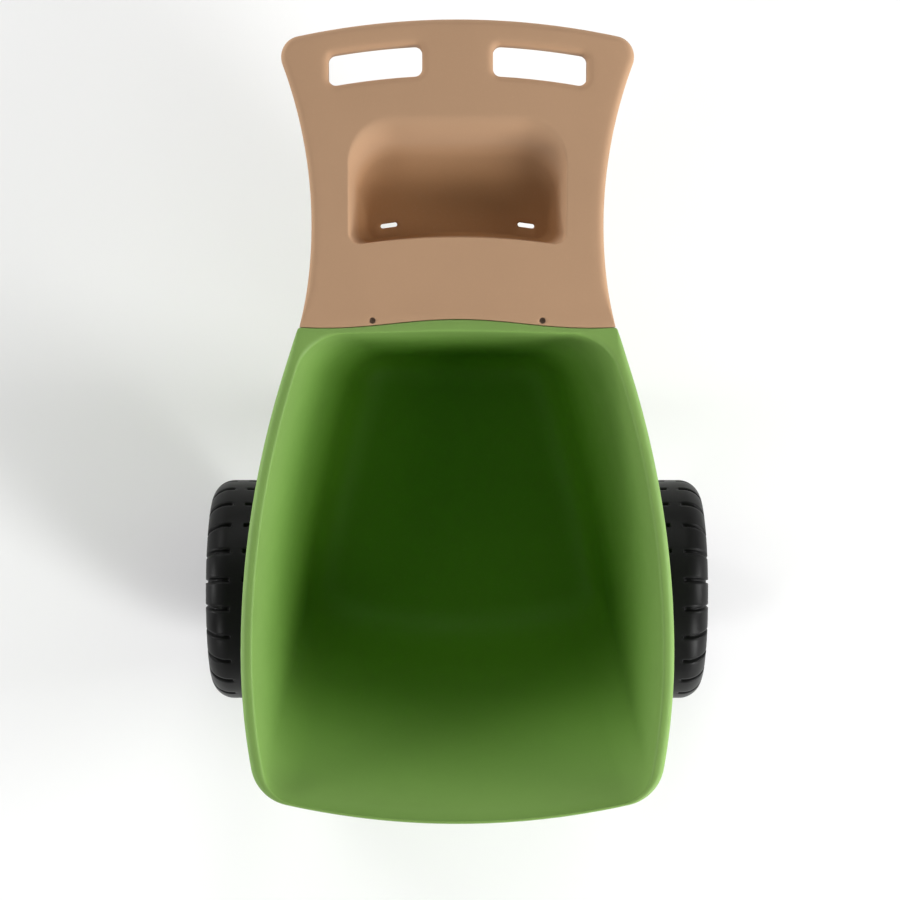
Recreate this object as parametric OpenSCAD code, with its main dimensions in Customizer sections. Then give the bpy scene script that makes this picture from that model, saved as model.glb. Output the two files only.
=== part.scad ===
// Two-wheeled moulded yard cart: a deep tub on two wide wheels, with a handle panel behind it.
// +X is the cart's right, +Y points from the front lip to the handle, +Z is up.
// The origin is on the ground, under the middle of the overall length and width.

/* [Tub] */
// Length of the tub from the front lip to the seam
tub_len = 729.4; // [600:0.1:880]
// Width of the tub over its rolled rim, at the widest place
tub_w = 639.2; // [560:0.1:770]
// Depth inside, from the rim to the floor
tub_depth = 406.4; // [330:0.1:490]
// Wall thickness of the tub
tub_wall = 5; // [4:0.5:7]
// Distance from the front lip back to the widest place
wide_back = 250; // [200:0.1:300]
// Radius of the side edges behind the widest place, in plan
side_r_back = 1390; // [1300:10:2000]
// Radius of the side edges ahead of the widest place, in plan
side_r_front = 950; // [800:10:1200]
// Radius of the front lip, in plan
lip_r = 1171; // [1000:1:1500]
// Radius of the front corners, in plan
front_corner_r = 66; // [50:1:90]
// Width of the rolled rim along the sides
rim_w = 18.75; // [14:0.25:24]
// Width of the rim along the front lip
lip_w = 5.4; // [4.5:0.1:8]
// Depth of the rim's turned-down edge
rim_drop = 25; // [18:1:36]
// Width of the rim band along the seam
seam_band = 9; // [8:1:20]
// How far the seam bulges towards the handle in the middle
seam_rise = 13; // [0:1:24]
// Half-length of the seam's bulge
seam_half = 195; // [150:1:210]
// Run of the front slope, from the lip to the floor crease
slope_run = 252; // [200:1:320]
// Run of the rear wall, from the seam to the floor line
rear_run = 30; // [25:1:60]
// Run of the side wall at the floor's front corners
side_run_front = 50; // [35:1:80]
// Run of the side wall at the floor's rear corners
side_run_rear = 82; // [60:1:110]
// Radius of the floor's sides, in plan
floor_side_r = 3000; // [2000:100:6000]
// Radius of the floor's front crease, in plan
crease_r = 733; // [600:1:1200]
// Radius where the floor turns up into the walls
floor_fillet = 50; // [40:1:54]

/* [Handle panel] */
// Length of the panel from the seam to its far edge
panel_len = 445.35; // [400:0.05:540]
// How far the far edge stands above the rim
handle_rise = 61.4; // [40:0.1:110]
// Width of the panel at its waist
waist_w = 428.6; // [380:0.1:500]
// Distance from the seam to the waist
waist_back = 155; // [130:1:200]
// Radius of the panel's hollow sides, in plan
waist_r = 655; // [560:1:900]
// Radius of the far edge, in plan
end_r = 1136; // [900:1:1500]
// Radius of the panel's far corners, in plan
end_corner_r = 30; // [20:1:45]
// Thickness of the panel over both skins
panel_t = 38; // [30:1:46]
// Thickness of one skin
panel_wall = 4.5; // [3.5:0.5:6]
// Thickness of the panel's front edge, where it lies on the tub's shelf
tongue_t = 16; // [13:1:20]
// Length of that front edge
tongue_len = 54; // [44:1:64]
// Width of the grip bar between the far edge and the hand slots
grip_bar = 34.5; // [28:0.5:50]
// Height of a hand slot
slot_h = 45; // [38:1:52]
// Distance from the middle to the near end of a hand slot
slot_in = 51.5; // [40:0.5:65]
// Distance from the middle to the far end of a hand slot
slot_out = 188; // [160:1:195]
// Corner radius of a hand slot
slot_r = 11; // [6:1:14]
// Width of the tray at its top
tray_w = 335.3; // [280:0.1:360]
// Length of the tray at its top, along the panel
tray_len = 198.1; // [150:0.1:205]
// Distance from the seam to the tray
tray_back = 118.5; // [110:0.5:135]
// Depth of the tray below the panel's top
tray_depth = 68; // [45:1:84]
// Run of the tray's sides
tray_side_run = 22; // [10:1:40]
// Run of the tray's far wall
tray_far_run = 57; // [20:1:70]
// Length of a drain slot in the tray
drain_len = 25; // [15:1:35]
// Width of a drain slot in the tray
drain_w = 6.5; // [5:0.5:9]
// Distance from the middle to each drain slot
drain_off = 102; // [70:1:115]

/* [Wheels and axle] */
// Diameter of a wheel over its tread
wheel_d = 355.6; // [300:0.1:430]
// Width of a wheel
wheel_w = 100; // [84:1:120]
// How far the rim of the tub reaches over each wheel
rim_overhang = 22.7; // [10:0.1:26]
// Distance from the front lip back to the axle
axle_back = 323.6; // [290:0.1:400]
// Diameter of the axle
axle_d = 12.7; // [10:0.1:16]
// Radius of the tread's rounded shoulders
shoulder_r = 35; // [25:1:40]
// Number of tread lugs around a wheel
lugs = 24; // [16:2:32]
// Depth of the tread's grooves
groove_depth = 7; // [4:0.5:9]
// Width of the grooves between shoulder lugs
groove_w = 7; // [5:0.5:10]
// Wall thickness of a wheel
wheel_wall = 6; // [5:0.5:8]
// Wall thickness of a wheel bush
bush_wall = 3.6; // [2:0.1:5]
// Radius of a wheel's hub boss
boss_r = 46; // [42:1:54]
// Half-width of the smooth band round the middle of the tread
band_half = 10; // [6:1:16]
// Depth of the grooves where they run down over the sidewall
side_cut = 3; // [1:0.5:4]

/* [Underside] */
// Material left in the bracket above the axle
bracket_roof = 6; // [5:0.5:10]
// Distance from the middle to each axle bracket
bracket_off = 145; // [120:1:160]
// Width of an axle bracket along the axle
bracket_w = 50; // [40:1:60]
// Length of an axle bracket along the cart
bracket_len = 80; // [70:1:96]
// Thickness of the pads under the floor that take the screws
pad_t = 8.05; // [6:0.05:12]
// Distance from the seam to the middle of each leg's flange
leg_ahead = 153; // [130:1:180]
// Distance from the middle to the middle of each leg's flange
leg_off = 68; // [60:1:80]
// How far each foot stands out from its flange, sideways
leg_splay = 46; // [0:1:60]
// How far each foot stands back from its flange
leg_rake = 62; // [0:1:80]

/* [Fits] */
// Radial clearance of each wheel bush on the axle
axle_fit = 0.05; // [0.02:0.01:0.1]
// End play of a wheel between its washers, at each side
end_play = 0.4; // [0.3:0.1:1]
// Gap along the seam between tub and panel
seam_gap = 0.6; // [0.4:0.1:2]

/* [Hidden] */
$fn = 64;

// Places along the cart
y_lip = -(tub_len + panel_len) / 2;
y_seam = y_lip + tub_len;
y_end = y_seam + panel_len;
y_wide = y_lip + wide_back;
y_axle = y_lip + axle_back;
tub_hw = tub_w / 2;

// Heights, built up from the ground by way of the wheels and the axle
z_axle = wheel_d / 2;
z_pad = z_axle + axle_d / 2 + bracket_roof;
z_under = z_pad + pad_t;
z_floor = z_under + tub_wall;
z_rim = z_floor + tub_depth;
bead_h = 9;
bead_root = 5;
flange_z = z_rim - rim_drop;
shelf_top = z_rim - tongue_t;
shelf_t = 6;
shelf_len = tongue_len - 10;
shelf_w = 440;
shelf_root = 4;
rim_corner_r = 6;
rear_inner_r = 75;
join = 1;

// Places along the axle, outwards from the middle
hub_inset = [6, 31];
disc_inset = [22, 16];
boss_inset = 14;
x_wheel_in = tub_hw - rim_overhang;
hub_in = x_wheel_in + hub_inset[0];
hub_out = x_wheel_in + wheel_w - hub_inset[1];
washer_t = 2;
bush_flange_t = 2.5;
x_inner_washer = hub_in - bush_flange_t - end_play - washer_t;
x_outer_washer = hub_out + bush_flange_t + end_play;
x_cap_nut = x_outer_washer + washer_t;
cap_nut_len = 10;
bore_r = axle_d / 2 + axle_fit;
hub_bore_r = bore_r + bush_wall;
press = 0.02;
washer_r = hub_bore_r + 5;
pocket_r = boss_r - 10;

// Screw sizes
screw_r = 2.5;
screw_head_r = 4.5;
pan_head_h = 3;
bolt_r = 3;
bolt_head_r = 5.8;
hole_gap = 0.3;
vent_r = 3;
seam_screw_x = 125;
seam_screw_back = 11.2;
bolt_x = [60, 175];
bolt_back = 30;

function sq(v) = v * v;
function lerp(a, b, t) = a + (b - a) * t;
function bezier(a, b, c, t) = lerp(lerp(a, b, t), lerp(b, c, t), t);
function total(v) = v * [for (x = v) 1];
function mean(ring) = [for (j = [0:2]) total([for (p = ring) p[j]]) / len(ring)];
function at_height(outline, z) = [for (p = outline) [p.x, p.y, z]];

// The crossing of two circles that lies right of the line from c1 to c2
function circles_meet(c1, r1, c2, r2) =
    let (d = c2 - c1, gap = norm(d), a = (sq(r1) - sq(r2) + sq(gap)) / (2 * gap))
    c1 + a * d / gap + sqrt(sq(r1) - sq(a)) * [d.y, -d.x] / gap;

// The middle of a circle of radius r through p and q that bulges away from x = 0
function arc_middle(p, q, r) =
    let (half = (q - p) / 2, len = norm(half), away = sqrt(sq(r) - sq(len)))
    (p + q) / 2 - away * [abs(half.y), half.x * sign(-half.y)] / len;

// A closed solid through rings of equal length, the first facing up, each clockwise from above
module loft(rings) {
    n = len(rings[0]);
    last = len(rings) - 1;
    polyhedron(
        points = concat([for (r = rings) each r], [mean(rings[0]), mean(rings[last])]),
        faces = [
            for (k = [0:last - 1], i = [0:n - 1])
                let (a = k * n + i, b = k * n + (i + 1) % n)
                each [[a, a + n, b + n], [a, b + n, b]],
            for (i = [0:n - 1]) [(last + 1) * n, i, (i + 1) % n],
            for (i = [0:n - 1]) [(last + 1) * n + 1, last * n + (i + 1) % n, last * n + i],
        ]
    );
}

function mirrored(half) =
    concat(half, [for (i = [len(half) - 2:-1:1]) [-half[i].x, half[i].y]]);

// A tub outline is [side middle, side radius, front side middle, its radius, front, front radius,
// front corner, rear, rear corner]; grown() moves all of it outwards by d.
function grown(o, d) =
    [o[0], o[1] + d, o[2], o[3] + d, o[4] - d, o[5] + d, o[6] + d, o[7] + d, o[8] + d];
function side_x(o, y) =
    y > o[0].y ? o[0].x + sqrt(sq(o[1]) - sq(y - o[0].y)) : o[2].x + sqrt(sq(o[3]) - sq(y - o[2].y));
function seam_curve(x) = seam_rise * (1 + cos(180 * x / seam_half)) / 2;

// Points of a tub outline, clockwise from the middle of the rear; bulge is its share of the seam's
function tub_outline(o, bulge = 0, edge_n = 5, corner_n = 4, side_n = 8) =
    let (
        ry = o[7] - o[8],
        rear = [o[0].x + sqrt(sq(o[1] - o[8]) - sq(ry - o[0].y)), ry],
        rear_turn = atan2(rear.y - o[0].y, rear.x - o[0].x),
        lip_mid = [0, o[4] + o[5]],
        front = circles_meet(o[2], o[3] - o[6], lip_mid, o[5] - o[6]),
        turn_a = atan2(front.y - o[2].y, front.x - o[2].x),
        turn_b = atan2(front.y - lip_mid.y, front.x),
        side_top = rear.y + o[8] * sin(rear_turn),
        side_low = front.y + o[6] * sin(turn_a),
        half = [
            for (i = [0:edge_n - 1]) [rear.x * i / edge_n, o[7]],
            for (i = [0:corner_n])
                let (a = lerp(90, rear_turn, i / corner_n)) rear + o[8] * [cos(a), sin(a)],
            for (i = [1:side_n - 1])
                let (y = lerp(side_top, side_low, i / side_n)) [side_x(o, y), y],
            for (i = [0:corner_n])
                let (a = lerp(turn_a, turn_b, i / corner_n)) front + o[6] * [cos(a), sin(a)],
            for (i = [1:edge_n])
                let (a = lerp(turn_b, -90, i / edge_n)) lip_mid + o[5] * [cos(a), sin(a)],
        ],
        lifted = [
            for (p = half)
                let (near = min(1, max(0, (p.y - o[7] + 60) / 60)))
                [p.x, p.y + bulge * near * seam_curve(p.x)],
        ]
    )
    mirrored(lifted);

rim_out_shape = [
    [tub_hw - side_r_back, y_wide], side_r_back, [tub_hw - side_r_front, y_wide], side_r_front,
    y_lip, lip_r, front_corner_r, y_seam, rim_corner_r,
];
rim_in_shape = [
    rim_out_shape[0], side_r_back - rim_w, rim_out_shape[2], side_r_front - rim_w,
    y_lip + lip_w, lip_r - lip_w, front_corner_r - lip_w - rim_corner_r,
    y_seam - seam_band, rear_inner_r,
];
floor_rear = y_seam - rear_run;
floor_front = y_lip + slope_run;
floor_mid = arc_middle(
    [side_x(rim_in_shape, floor_rear) - side_run_rear, floor_rear],
    [side_x(rim_in_shape, floor_front) - side_run_front, floor_front], floor_side_r
);
floor_corner_r = floor_fillet + 10;
floor_shape = [
    floor_mid, floor_side_r, floor_mid, floor_side_r,
    floor_front, crease_r, floor_corner_r, floor_rear, floor_corner_r,
];

rim_out = tub_outline(rim_out_shape, 1);
rim_in = tub_outline(rim_in_shape, 0.3);

function towards(a, b, d, most) =
    [for (i = [0:len(a) - 1]) lerp(a[i], b[i], min(most, d / norm(b[i] - a[i])))];
function between(a, b, t) = [for (i = [0:len(a) - 1]) lerp(a[i], b[i], t)];

// Rings up one face of the tub's wall, from the flat floor to the given top
function wall_rings(shape, top, z_low, z_high, fillet_n = 3, wall_n = 4, turn = 0.14, belly = 0.92) =
    let (
        flat = tub_outline(grown(shape, -floor_fillet)),
        foot = tub_outline(shape),
        reach = pow(turn, belly),
        z_turn = lerp(z_low, z_high, turn)
    )
    [
        at_height(flat, z_low),
        for (k = [1:fillet_n])
            [
                for (i = [0:len(flat) - 1])
                    let (p = lerp(foot[i], top[i], reach))
                    bezier(
                        [flat[i].x, flat[i].y, z_low], [foot[i].x, foot[i].y, z_low],
                        [p.x, p.y, z_turn], k / fillet_n
                    ),
            ],
        for (k = [1:wall_n])
            let (f = lerp(turn, 1, k / wall_n))
            at_height(between(foot, top, pow(f, belly)), lerp(z_low, z_high, f)),
    ];

function reversed(v) = [for (i = [len(v) - 1:-1:0]) v[i]];

module tub_shell() {
    wall_top = towards(rim_in, rim_out, tub_wall, 0.5);
    lip_inside = towards(rim_out, rim_in, tub_wall * 0.75, 0.25);
    inside = wall_rings(floor_shape, rim_in, z_floor, z_rim - bead_h);
    outside = wall_rings(grown(floor_shape, tub_wall * 0.8), wall_top, z_under, z_rim - bead_h - bead_root);
    bead = [
        for (a = [36:36:144])
            at_height(between(rim_in, rim_out, (1 - cos(a)) / 2), z_rim - bead_h * (1 - sin(a))),
    ];
    flange = [
        at_height(rim_out, z_rim - bead_h), at_height(rim_out, flange_z),
        at_height(lip_inside, flange_z), at_height(lip_inside, z_rim - bead_h - bead_root),
    ];
    loft(concat(inside, bead, flange, reversed(outside)));
}

// Places of the screws that go up into the floor, and of the bolts through the shelf
bracket_screw_inset = 14;
bracket_spots = [
    for (s = [-1, 1], t = [-1, 1]) [s * bracket_off, y_axle + t * (bracket_len / 2 - bracket_screw_inset)],
];
y_leg = y_seam - leg_ahead;
leg_flange = [84, 96];
leg_screw_inset = 9;
leg_spots = [
    for (s = [-1, 1], i = [-1, 1], j = [-1, 1])
        [s * leg_off, y_leg]
            + [i * (leg_flange.x / 2 - leg_screw_inset), j * (leg_flange.y / 2 - leg_screw_inset)],
];
seam_spots = [for (s = [-1, 1]) [s * seam_screw_x, y_seam + seam_screw_back]];
bolt_spots = [for (s = [-1, 1], x = bolt_x) [s * x, y_seam + bolt_back]];

// One upright cylinder at each place
module posts(spots, r, z0, z1) {
    for (p = spots) translate([p.x, p.y, z0]) cylinder(r = r, h = z1 - z0);
}

module slab(cx, cy, size, z0, z1) {
    translate([cx - size.x / 2, cy - size.y / 2, z0]) cube([size.x, size.y, z1 - z0]);
}

pilot_depth = 4;
module tub() {
    color("#4f7f34")
    difference() {
        union() {
            tub_shell();
            slab(
                0, y_seam + (shelf_len - shelf_root) / 2, [shelf_w, shelf_len + shelf_root],
                shelf_top - shelf_t, shelf_top
            );
            for (s = [-1, 1]) {
                slab(s * bracket_off, y_axle, [bracket_w, bracket_len], z_pad, z_under + join);
                slab(s * leg_off, y_leg, leg_flange, z_pad, z_under + join);
            }
        }
        posts(bracket_spots, screw_r, z_pad - 1, z_under + pilot_depth);
        posts(leg_spots, screw_r, z_pad - 1, z_under + pilot_depth);
        posts(seam_spots, screw_r, shelf_top - shelf_t - 1, shelf_top + 1);
        posts(bolt_spots, bolt_r + hole_gap, shelf_top - shelf_t - 1, shelf_top + 1);
    }
}

// Top of the panel: level at the seam, then rising evenly to the far edge
rise_from = y_seam + 28;
rise_soft = 24;
slope = handle_rise / (y_end - rise_from);
function panel_top(y) = z_rim + slope * (y - rise_from + sqrt(sq(y - rise_from) + sq(rise_soft))) / 2;

y_waist = y_seam + waist_back;
// Outline of the panel grown outwards by g, from its far edge down to the seam and past it by extra
function panel_outline(g = 0, side_n = 14, corner_n = 6, end_n = 10, seam_n = 8) =
    let (
        side_mid = [waist_w / 2 + waist_r, y_waist],
        side_r = waist_r - g,
        end_mid = [0, y_end - end_r],
        corner_r = end_corner_r + g,
        corner = circles_meet(side_mid, side_r + corner_r, end_mid, end_r + g - corner_r),
        turn_a = atan2(corner.y - side_mid.y, corner.x - side_mid.x) - 180,
        turn_b = atan2(corner.y - end_mid.y, corner.x),
        seam_x = side_mid.x - sqrt(sq(side_r) - sq(y_seam + seam_gap - y_waist)),
        side_low = y_seam + seam_gap + seam_curve(seam_x),
        side_high = corner.y + corner_r * sin(turn_a)
    )
    mirrored([
        for (i = [0:end_n - 1])
            let (a = lerp(90, turn_b, i / end_n)) end_mid + (end_r + g) * [cos(a), sin(a)],
        for (i = [0:corner_n])
            let (a = lerp(turn_b, turn_a, i / corner_n)) corner + corner_r * [cos(a), sin(a)],
        for (i = [1:side_n])
            let (y = lerp(side_high, side_low, i / side_n))
            [side_mid.x - sqrt(sq(side_r) - sq(y - y_waist)), y],
        for (i = [1:seam_n])
            let (x = seam_x * (1 - i / seam_n)) [x, y_seam + seam_gap + seam_curve(x)],
    ]);

// The part of the panel between depths d0 and d1 under its top, from y0 to y1
module panel_layer(g, d0, d1, y0, y1, steps = 12) {
    ys = [for (i = [0:steps]) lerp(y0, y1, sq(i / steps))];
    intersection() {
        translate([0, 0, z_rim - 100]) linear_extrude(height = 200 + handle_rise) polygon(panel_outline(g));
        rotate([90, 0, 90]) translate([0, 0, -tub_w]) linear_extrude(height = 2 * tub_w)
            polygon(concat(
                [for (y = ys) [y, panel_top(y) - d0]],
                [for (y = reversed(ys)) [y, panel_top(y) - d1]]
            ));
    }
}

// One hand slot grown by g, following the far edge
module hand_slot(g = 0, n = 8, corner_n = 4) {
    mid = [0, y_end - end_r];
    r_out = end_r - grip_bar + g;
    r_in = r_out - slot_h - 2 * g;
    r = slot_r + g;
    a_in = asin((slot_in - g + r) / (r_out - r));
    a_out = asin((slot_out + g - r) / (r_out - r));
    b_in = asin((slot_in - g + r) / (r_in + r));
    b_out = asin((slot_out + g - r) / (r_in + r));
    function spot(radius, a) = mid + radius * [sin(a), cos(a)];
    function turn(radius, a, from) = [
        for (i = [0:corner_n])
            let (b = a + from + 90 * i / corner_n) spot(radius, a) + r * [sin(b), cos(b)],
    ];
    translate([0, 0, z_rim - 100]) linear_extrude(height = 300 + handle_rise) polygon(concat(
        turn(r_out - r, a_in, -90),
        [for (i = [1:n - 1]) spot(r_out, lerp(a_in, a_out, i / n))],
        turn(r_out - r, a_out, 0),
        turn(r_in + r, b_out, 90),
        [for (i = [1:n - 1]) spot(r_in, lerp(b_out, b_in, i / n))],
        turn(r_in + r, b_in, 180)
    ));
}

// One ring of the tray, d below the panel's slope and drawn in by the given share of its runs
tray_bow = 12;
tray_tub_r = 20;
tray_far_r = 70;
tray_far_r_run = 10;
tray_tub_run = 8;
function tray_ring(d, share, g = 0, edge_n = 5, corner_n = 5) =
    let (
        hw = tray_w / 2 - share * tray_side_run + g,
        far = y_seam + tray_back + tray_len - share * tray_far_run + g,
        near = y_seam + tray_back + share * tray_tub_run - g,
        far_r = tray_far_r - share * tray_far_r_run + g,
        near_r = tray_tub_r + g
    )
    [
        for (p = mirrored([
            for (i = [0:edge_n - 1]) [(hw - far_r) * i / edge_n, far],
            for (i = [0:corner_n])
                let (a = 90 - 90 * i / corner_n) [hw - far_r, far - far_r] + far_r * [cos(a), sin(a)],
            for (i = [0:corner_n])
                let (a = -90 * i / corner_n) [hw - near_r, near + near_r] + near_r * [cos(a), sin(a)],
            for (i = [1:edge_n]) [(hw - near_r) * (1 - i / edge_n), near],
        ]))
            let (bowed = p.y + tray_bow * (1 - sq(p.x / hw)) * max(0, 1 - (p.y - near) / (far - near)))
            [p.x, bowed, z_rim + slope * (bowed - rise_from) - d],
    ];

// The tray's hollow, or with g above 0 the outside of its walls
module tray_hollow(g = 0) {
    loft([
        tray_ring(g > 0 ? 2 : -12, 0, g), tray_ring(3, 0.05, g), tray_ring(tray_depth * 0.5, 0.45, g),
        tray_ring(tray_depth * 0.9, 0.85, g), tray_ring(tray_depth + g, 1.05, g),
    ]);
}

drain_y = 37;
drain_tilt = 8;
module drain_slots() {
    for (s = [-1, 1])
        translate([s * drain_off, y_seam + tray_back + drain_y, z_rim - 100]) rotate([0, 0, -drain_tilt * s])
            linear_extrude(height = 150) union() {
                square([drain_len - drain_w, drain_w], center = true);
                for (t = [-1, 1]) translate([t * (drain_len - drain_w) / 2, 0]) circle(d = drain_w);
            }
}

tongue_end = y_seam + tongue_len;
sink_h = 5;
vent_ahead = 20;
bolt_cover = 3;
module handle_panel() {
    color("#b8977a")
    difference() {
        union() {
            panel_layer(0, 0, tongue_t, y_seam - 5, tongue_end + 5);
            panel_layer(0, 0, panel_t, tongue_end, y_end + 5);
            tray_hollow(panel_wall);
        }
        tray_hollow();
        for (s = [0, 1]) mirror([s, 0, 0]) hand_slot();
        drain_slots();
        difference() {
            panel_layer(-panel_wall, panel_wall, panel_t - panel_wall, tongue_end + panel_wall, y_end + 5);
            tray_hollow(panel_wall);
            for (s = [0, 1]) mirror([s, 0, 0]) hand_slot(panel_wall);
        }
        posts([[0, tongue_end + vent_ahead]], vent_r + 1, z_rim - 100, z_rim - 10);
        posts(seam_spots, screw_r + hole_gap, shelf_top - 1, z_rim + 5);
        posts(seam_spots, screw_head_r + 0.5, z_rim - sink_h, z_rim + 9);
        posts(bolt_spots, bolt_r, shelf_top - 1, shelf_top + tongue_t - bolt_cover);
    }
}

// A round-headed screw standing up from its head's top, with a cross recess
recess = [6, 1.2];
recess_depth = 1.6;
module pan_screw(length) {
    difference() {
        union() {
            translate([0, 0, -pan_head_h]) cylinder(r = screw_head_r, h = pan_head_h);
            translate([0, 0, -length]) cylinder(r = screw_r, h = length - pan_head_h + 0.5);
        }
        for (a = [0, 90])
            rotate([0, 0, a]) slab(0, 0, recess, -recess_depth, join);
    }
}

module seam_screws() {
    color("#3a3028")
    for (p = seam_spots)
        translate([p.x, p.y, z_rim - sink_h + pan_head_h])
            pan_screw(pan_head_h + tongue_t - sink_h + shelf_t);
}

handle_bolt_washer_t = 1.6;
bolt_head_h = 4;
module handle_bolts() {
    color("#9a9da0")
    for (p = bolt_spots)
        translate([p.x, p.y, shelf_top - shelf_t - handle_bolt_washer_t]) {
            cylinder(r = bolt_r, h = shelf_t + handle_bolt_washer_t + tongue_t - bolt_cover - 0.5);
            translate([0, 0, -bolt_head_h]) cylinder(r = bolt_head_r, h = bolt_head_h, $fn = 6);
        }
}

module handle_bolt_washers() {
    color("#a7aaad")
    for (p = bolt_spots)
        translate([p.x, p.y, shelf_top - shelf_t - handle_bolt_washer_t]) difference() {
            cylinder(r = bolt_head_r + 2, h = handle_bolt_washer_t);
            translate([0, 0, -1]) cylinder(r = bolt_r + hole_gap, h = handle_bolt_washer_t + 2);
        }
}

// Puts a child drawn along +Z from the middle of the cart onto the axle's line, at side s
module along_axle(s, x = 0) {
    translate([s * x, y_axle, z_axle]) rotate([0, 90 * s, 0]) children();
}

axle_end = x_cap_nut + cap_nut_len - 4;
module axle() {
    color("#8d9093")
    along_axle(1, -axle_end) cylinder(d = axle_d, h = 2 * axle_end);
}

bracket_under = 16;
bracket_plate = 9;
module axle_bracket(s) {
    color("#2b2b2b")
    difference() {
        translate([s * bracket_off, y_axle, 0]) intersection() {
            slab(0, 0, [bracket_w, bracket_len], z_axle - bracket_under, z_pad);
            union() {
                slab(0, 0, [bracket_w, bracket_len], z_pad - bracket_plate, z_pad);
                rotate([0, 90, 0]) translate([-z_axle, 0, -bracket_w / 2])
                    cylinder(r = bracket_under, h = bracket_w);
            }
        }
        along_axle(s, bracket_off - bracket_w) cylinder(r = bore_r, h = 2 * bracket_w);
        posts(bracket_spots, screw_r + hole_gap, z_pad - 20, z_pad + 1);
    }
}

module floor_screws(spots, plate) {
    length = pan_head_h + plate + pad_t + pilot_depth - 0.5;
    for (p = spots)
        translate([p.x, p.y, z_pad - plate - pan_head_h]) rotate([180, 0, 0]) pan_screw(length);
}

module bracket_screws() {
    color("#9a9da0") floor_screws(bracket_spots, bracket_plate);
}

module tube(outer, inner, length) {
    difference() {
        cylinder(r = outer, h = length);
        translate([0, 0, -1]) cylinder(r = inner, h = length + 2);
    }
}

x_spacer = bracket_off + bracket_w / 2;
module spacer(s) {
    color("#2b2b2b") along_axle(s, x_spacer) tube(hub_bore_r + 1, bore_r, x_inner_washer - x_spacer);
}

module washers(x) {
    color("#a7aaad") for (s = [-1, 1]) along_axle(s, x) tube(washer_r, bore_r, washer_t);
}

module cap_nuts() {
    color("#a7aaad")
    for (s = [-1, 1]) along_axle(s, x_cap_nut) difference() {
        rotate_extrude() polygon([
            [0, 0], [washer_r - 1, 0], [washer_r - 1, 2], [axle_d / 2 + 3, 3],
            [axle_d / 2 + 3, cap_nut_len - 3], [axle_d / 4, cap_nut_len], [0, cap_nut_len],
        ]);
        translate([0, 0, -1]) cylinder(r = axle_d / 2 + press, h = axle_end - x_cap_nut + 1.2);
    }
}

// Half-section of a wheel, [radius, distance outwards from its inner face]
tread_r = wheel_d / 2;
side_r = tread_r - shoulder_r;
seat_r = 124;
function wheel_section(n = 6) = concat(
    [
        [hub_bore_r + press, hub_inset[0]], [boss_r - 8, hub_inset[0]], [boss_r - 4, disc_inset[0]],
        [seat_r - 8, disc_inset[0]], [seat_r, 5], [seat_r + 6, 2], [side_r, 0],
    ],
    [for (i = [1:n]) let (a = 90 * i / n) [side_r + shoulder_r * sin(a), shoulder_r * (1 - cos(a))]],
    [for (i = [n:-1:1]) let (a = 90 * i / n)
        [side_r + shoulder_r * sin(a), wheel_w - shoulder_r * (1 - cos(a))]],
    [
        [side_r, wheel_w], [seat_r + 6, wheel_w - 2], [seat_r, wheel_w - 5],
        [seat_r - 8, wheel_w - disc_inset[1]], [boss_r + 4, wheel_w - disc_inset[1]],
        [boss_r, wheel_w - boss_inset], [pocket_r, wheel_w - boss_inset],
        [pocket_r, wheel_w - hub_inset[1]], [hub_bore_r + press, wheel_w - hub_inset[1]],
    ]
);

// The hollow inside a wheel, one wall in from its section
module wheel_hollow() {
    core_r = boss_r - 16;
    inner_r = tread_r - groove_depth - wheel_wall;
    disc_front = wheel_w - disc_inset[1] - wheel_wall;
    rotate_extrude() polygon([
        [core_r, disc_inset[0] + wheel_wall], [seat_r - 10, disc_inset[0] + wheel_wall],
        [seat_r, 10 + wheel_wall], [side_r, wheel_wall + 2],
        [inner_r, shoulder_r + 4], [inner_r, wheel_w - shoulder_r - 4],
        [side_r, wheel_w - wheel_wall - 2], [seat_r, wheel_w - 10 - wheel_wall],
        [seat_r - 10, disc_front], [boss_r + 2, disc_front],
        [boss_r + 2, wheel_w - hub_inset[1] - wheel_wall], [core_r, wheel_w - hub_inset[1] - wheel_wall],
    ]);
}

// One groove from the smooth band out over the shoulder of the tread and down the sidewall
module tread_groove() {
    shoulder_floor = [tread_r - groove_depth - 9, shoulder_r - 7];
    band_edge = wheel_w / 2 - band_half;
    rotate([90, 0, 0]) translate([0, 0, -groove_w / 2]) linear_extrude(height = groove_w) polygon([
        [side_r - 12, -1], [side_r - 12, side_cut], [side_r + 6, side_cut + 1], shoulder_floor,
        [tread_r - groove_depth, band_edge], [tread_r + 5, band_edge], [tread_r + 5, -1],
    ]);
}

module wheel(s) {
    color("#1c1c1c")
    along_axle(s, x_wheel_in) difference() {
        rotate_extrude($fn = 96) polygon(wheel_section());
        wheel_hollow();
        translate([seat_r - 44, 0, 10]) cylinder(r = vent_r, h = 20);
        for (i = [0:lugs - 1], flip = [0, 1])
            rotate([0, 0, (i + 0.5) * 360 / lugs]) translate([0, 0, flip * wheel_w])
                mirror([0, 0, flip]) tread_groove();
    }
}

module bushings(s) {
    color("#d8d4c8")
    along_axle(s, hub_in) for (t = [0, 1])
        translate([0, 0, t * (hub_out - hub_in)]) mirror([0, 0, t]) difference() {
            union() {
                cylinder(r = hub_bore_r, h = 20);
                translate([0, 0, -bush_flange_t]) cylinder(r = washer_r, h = bush_flange_t);
            }
            translate([0, 0, -5]) cylinder(r = bore_r, h = 30);
        }
}

module hub_cap(s) {
    boss_face = wheel_w - boss_inset;
    r = pocket_r - 0.1;
    color("#262626")
    along_axle(s, x_wheel_in + boss_face) rotate_extrude() polygon([
        [r - 2, -12], [r, -12], [r, 0], [boss_r - 2, 0], [boss_r - 2, 2], [boss_r - 6, 4],
        [20, 7], [0, 8], [0, 5.5], [r - 4, 2], [r - 2, 0],
    ]);
}

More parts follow.
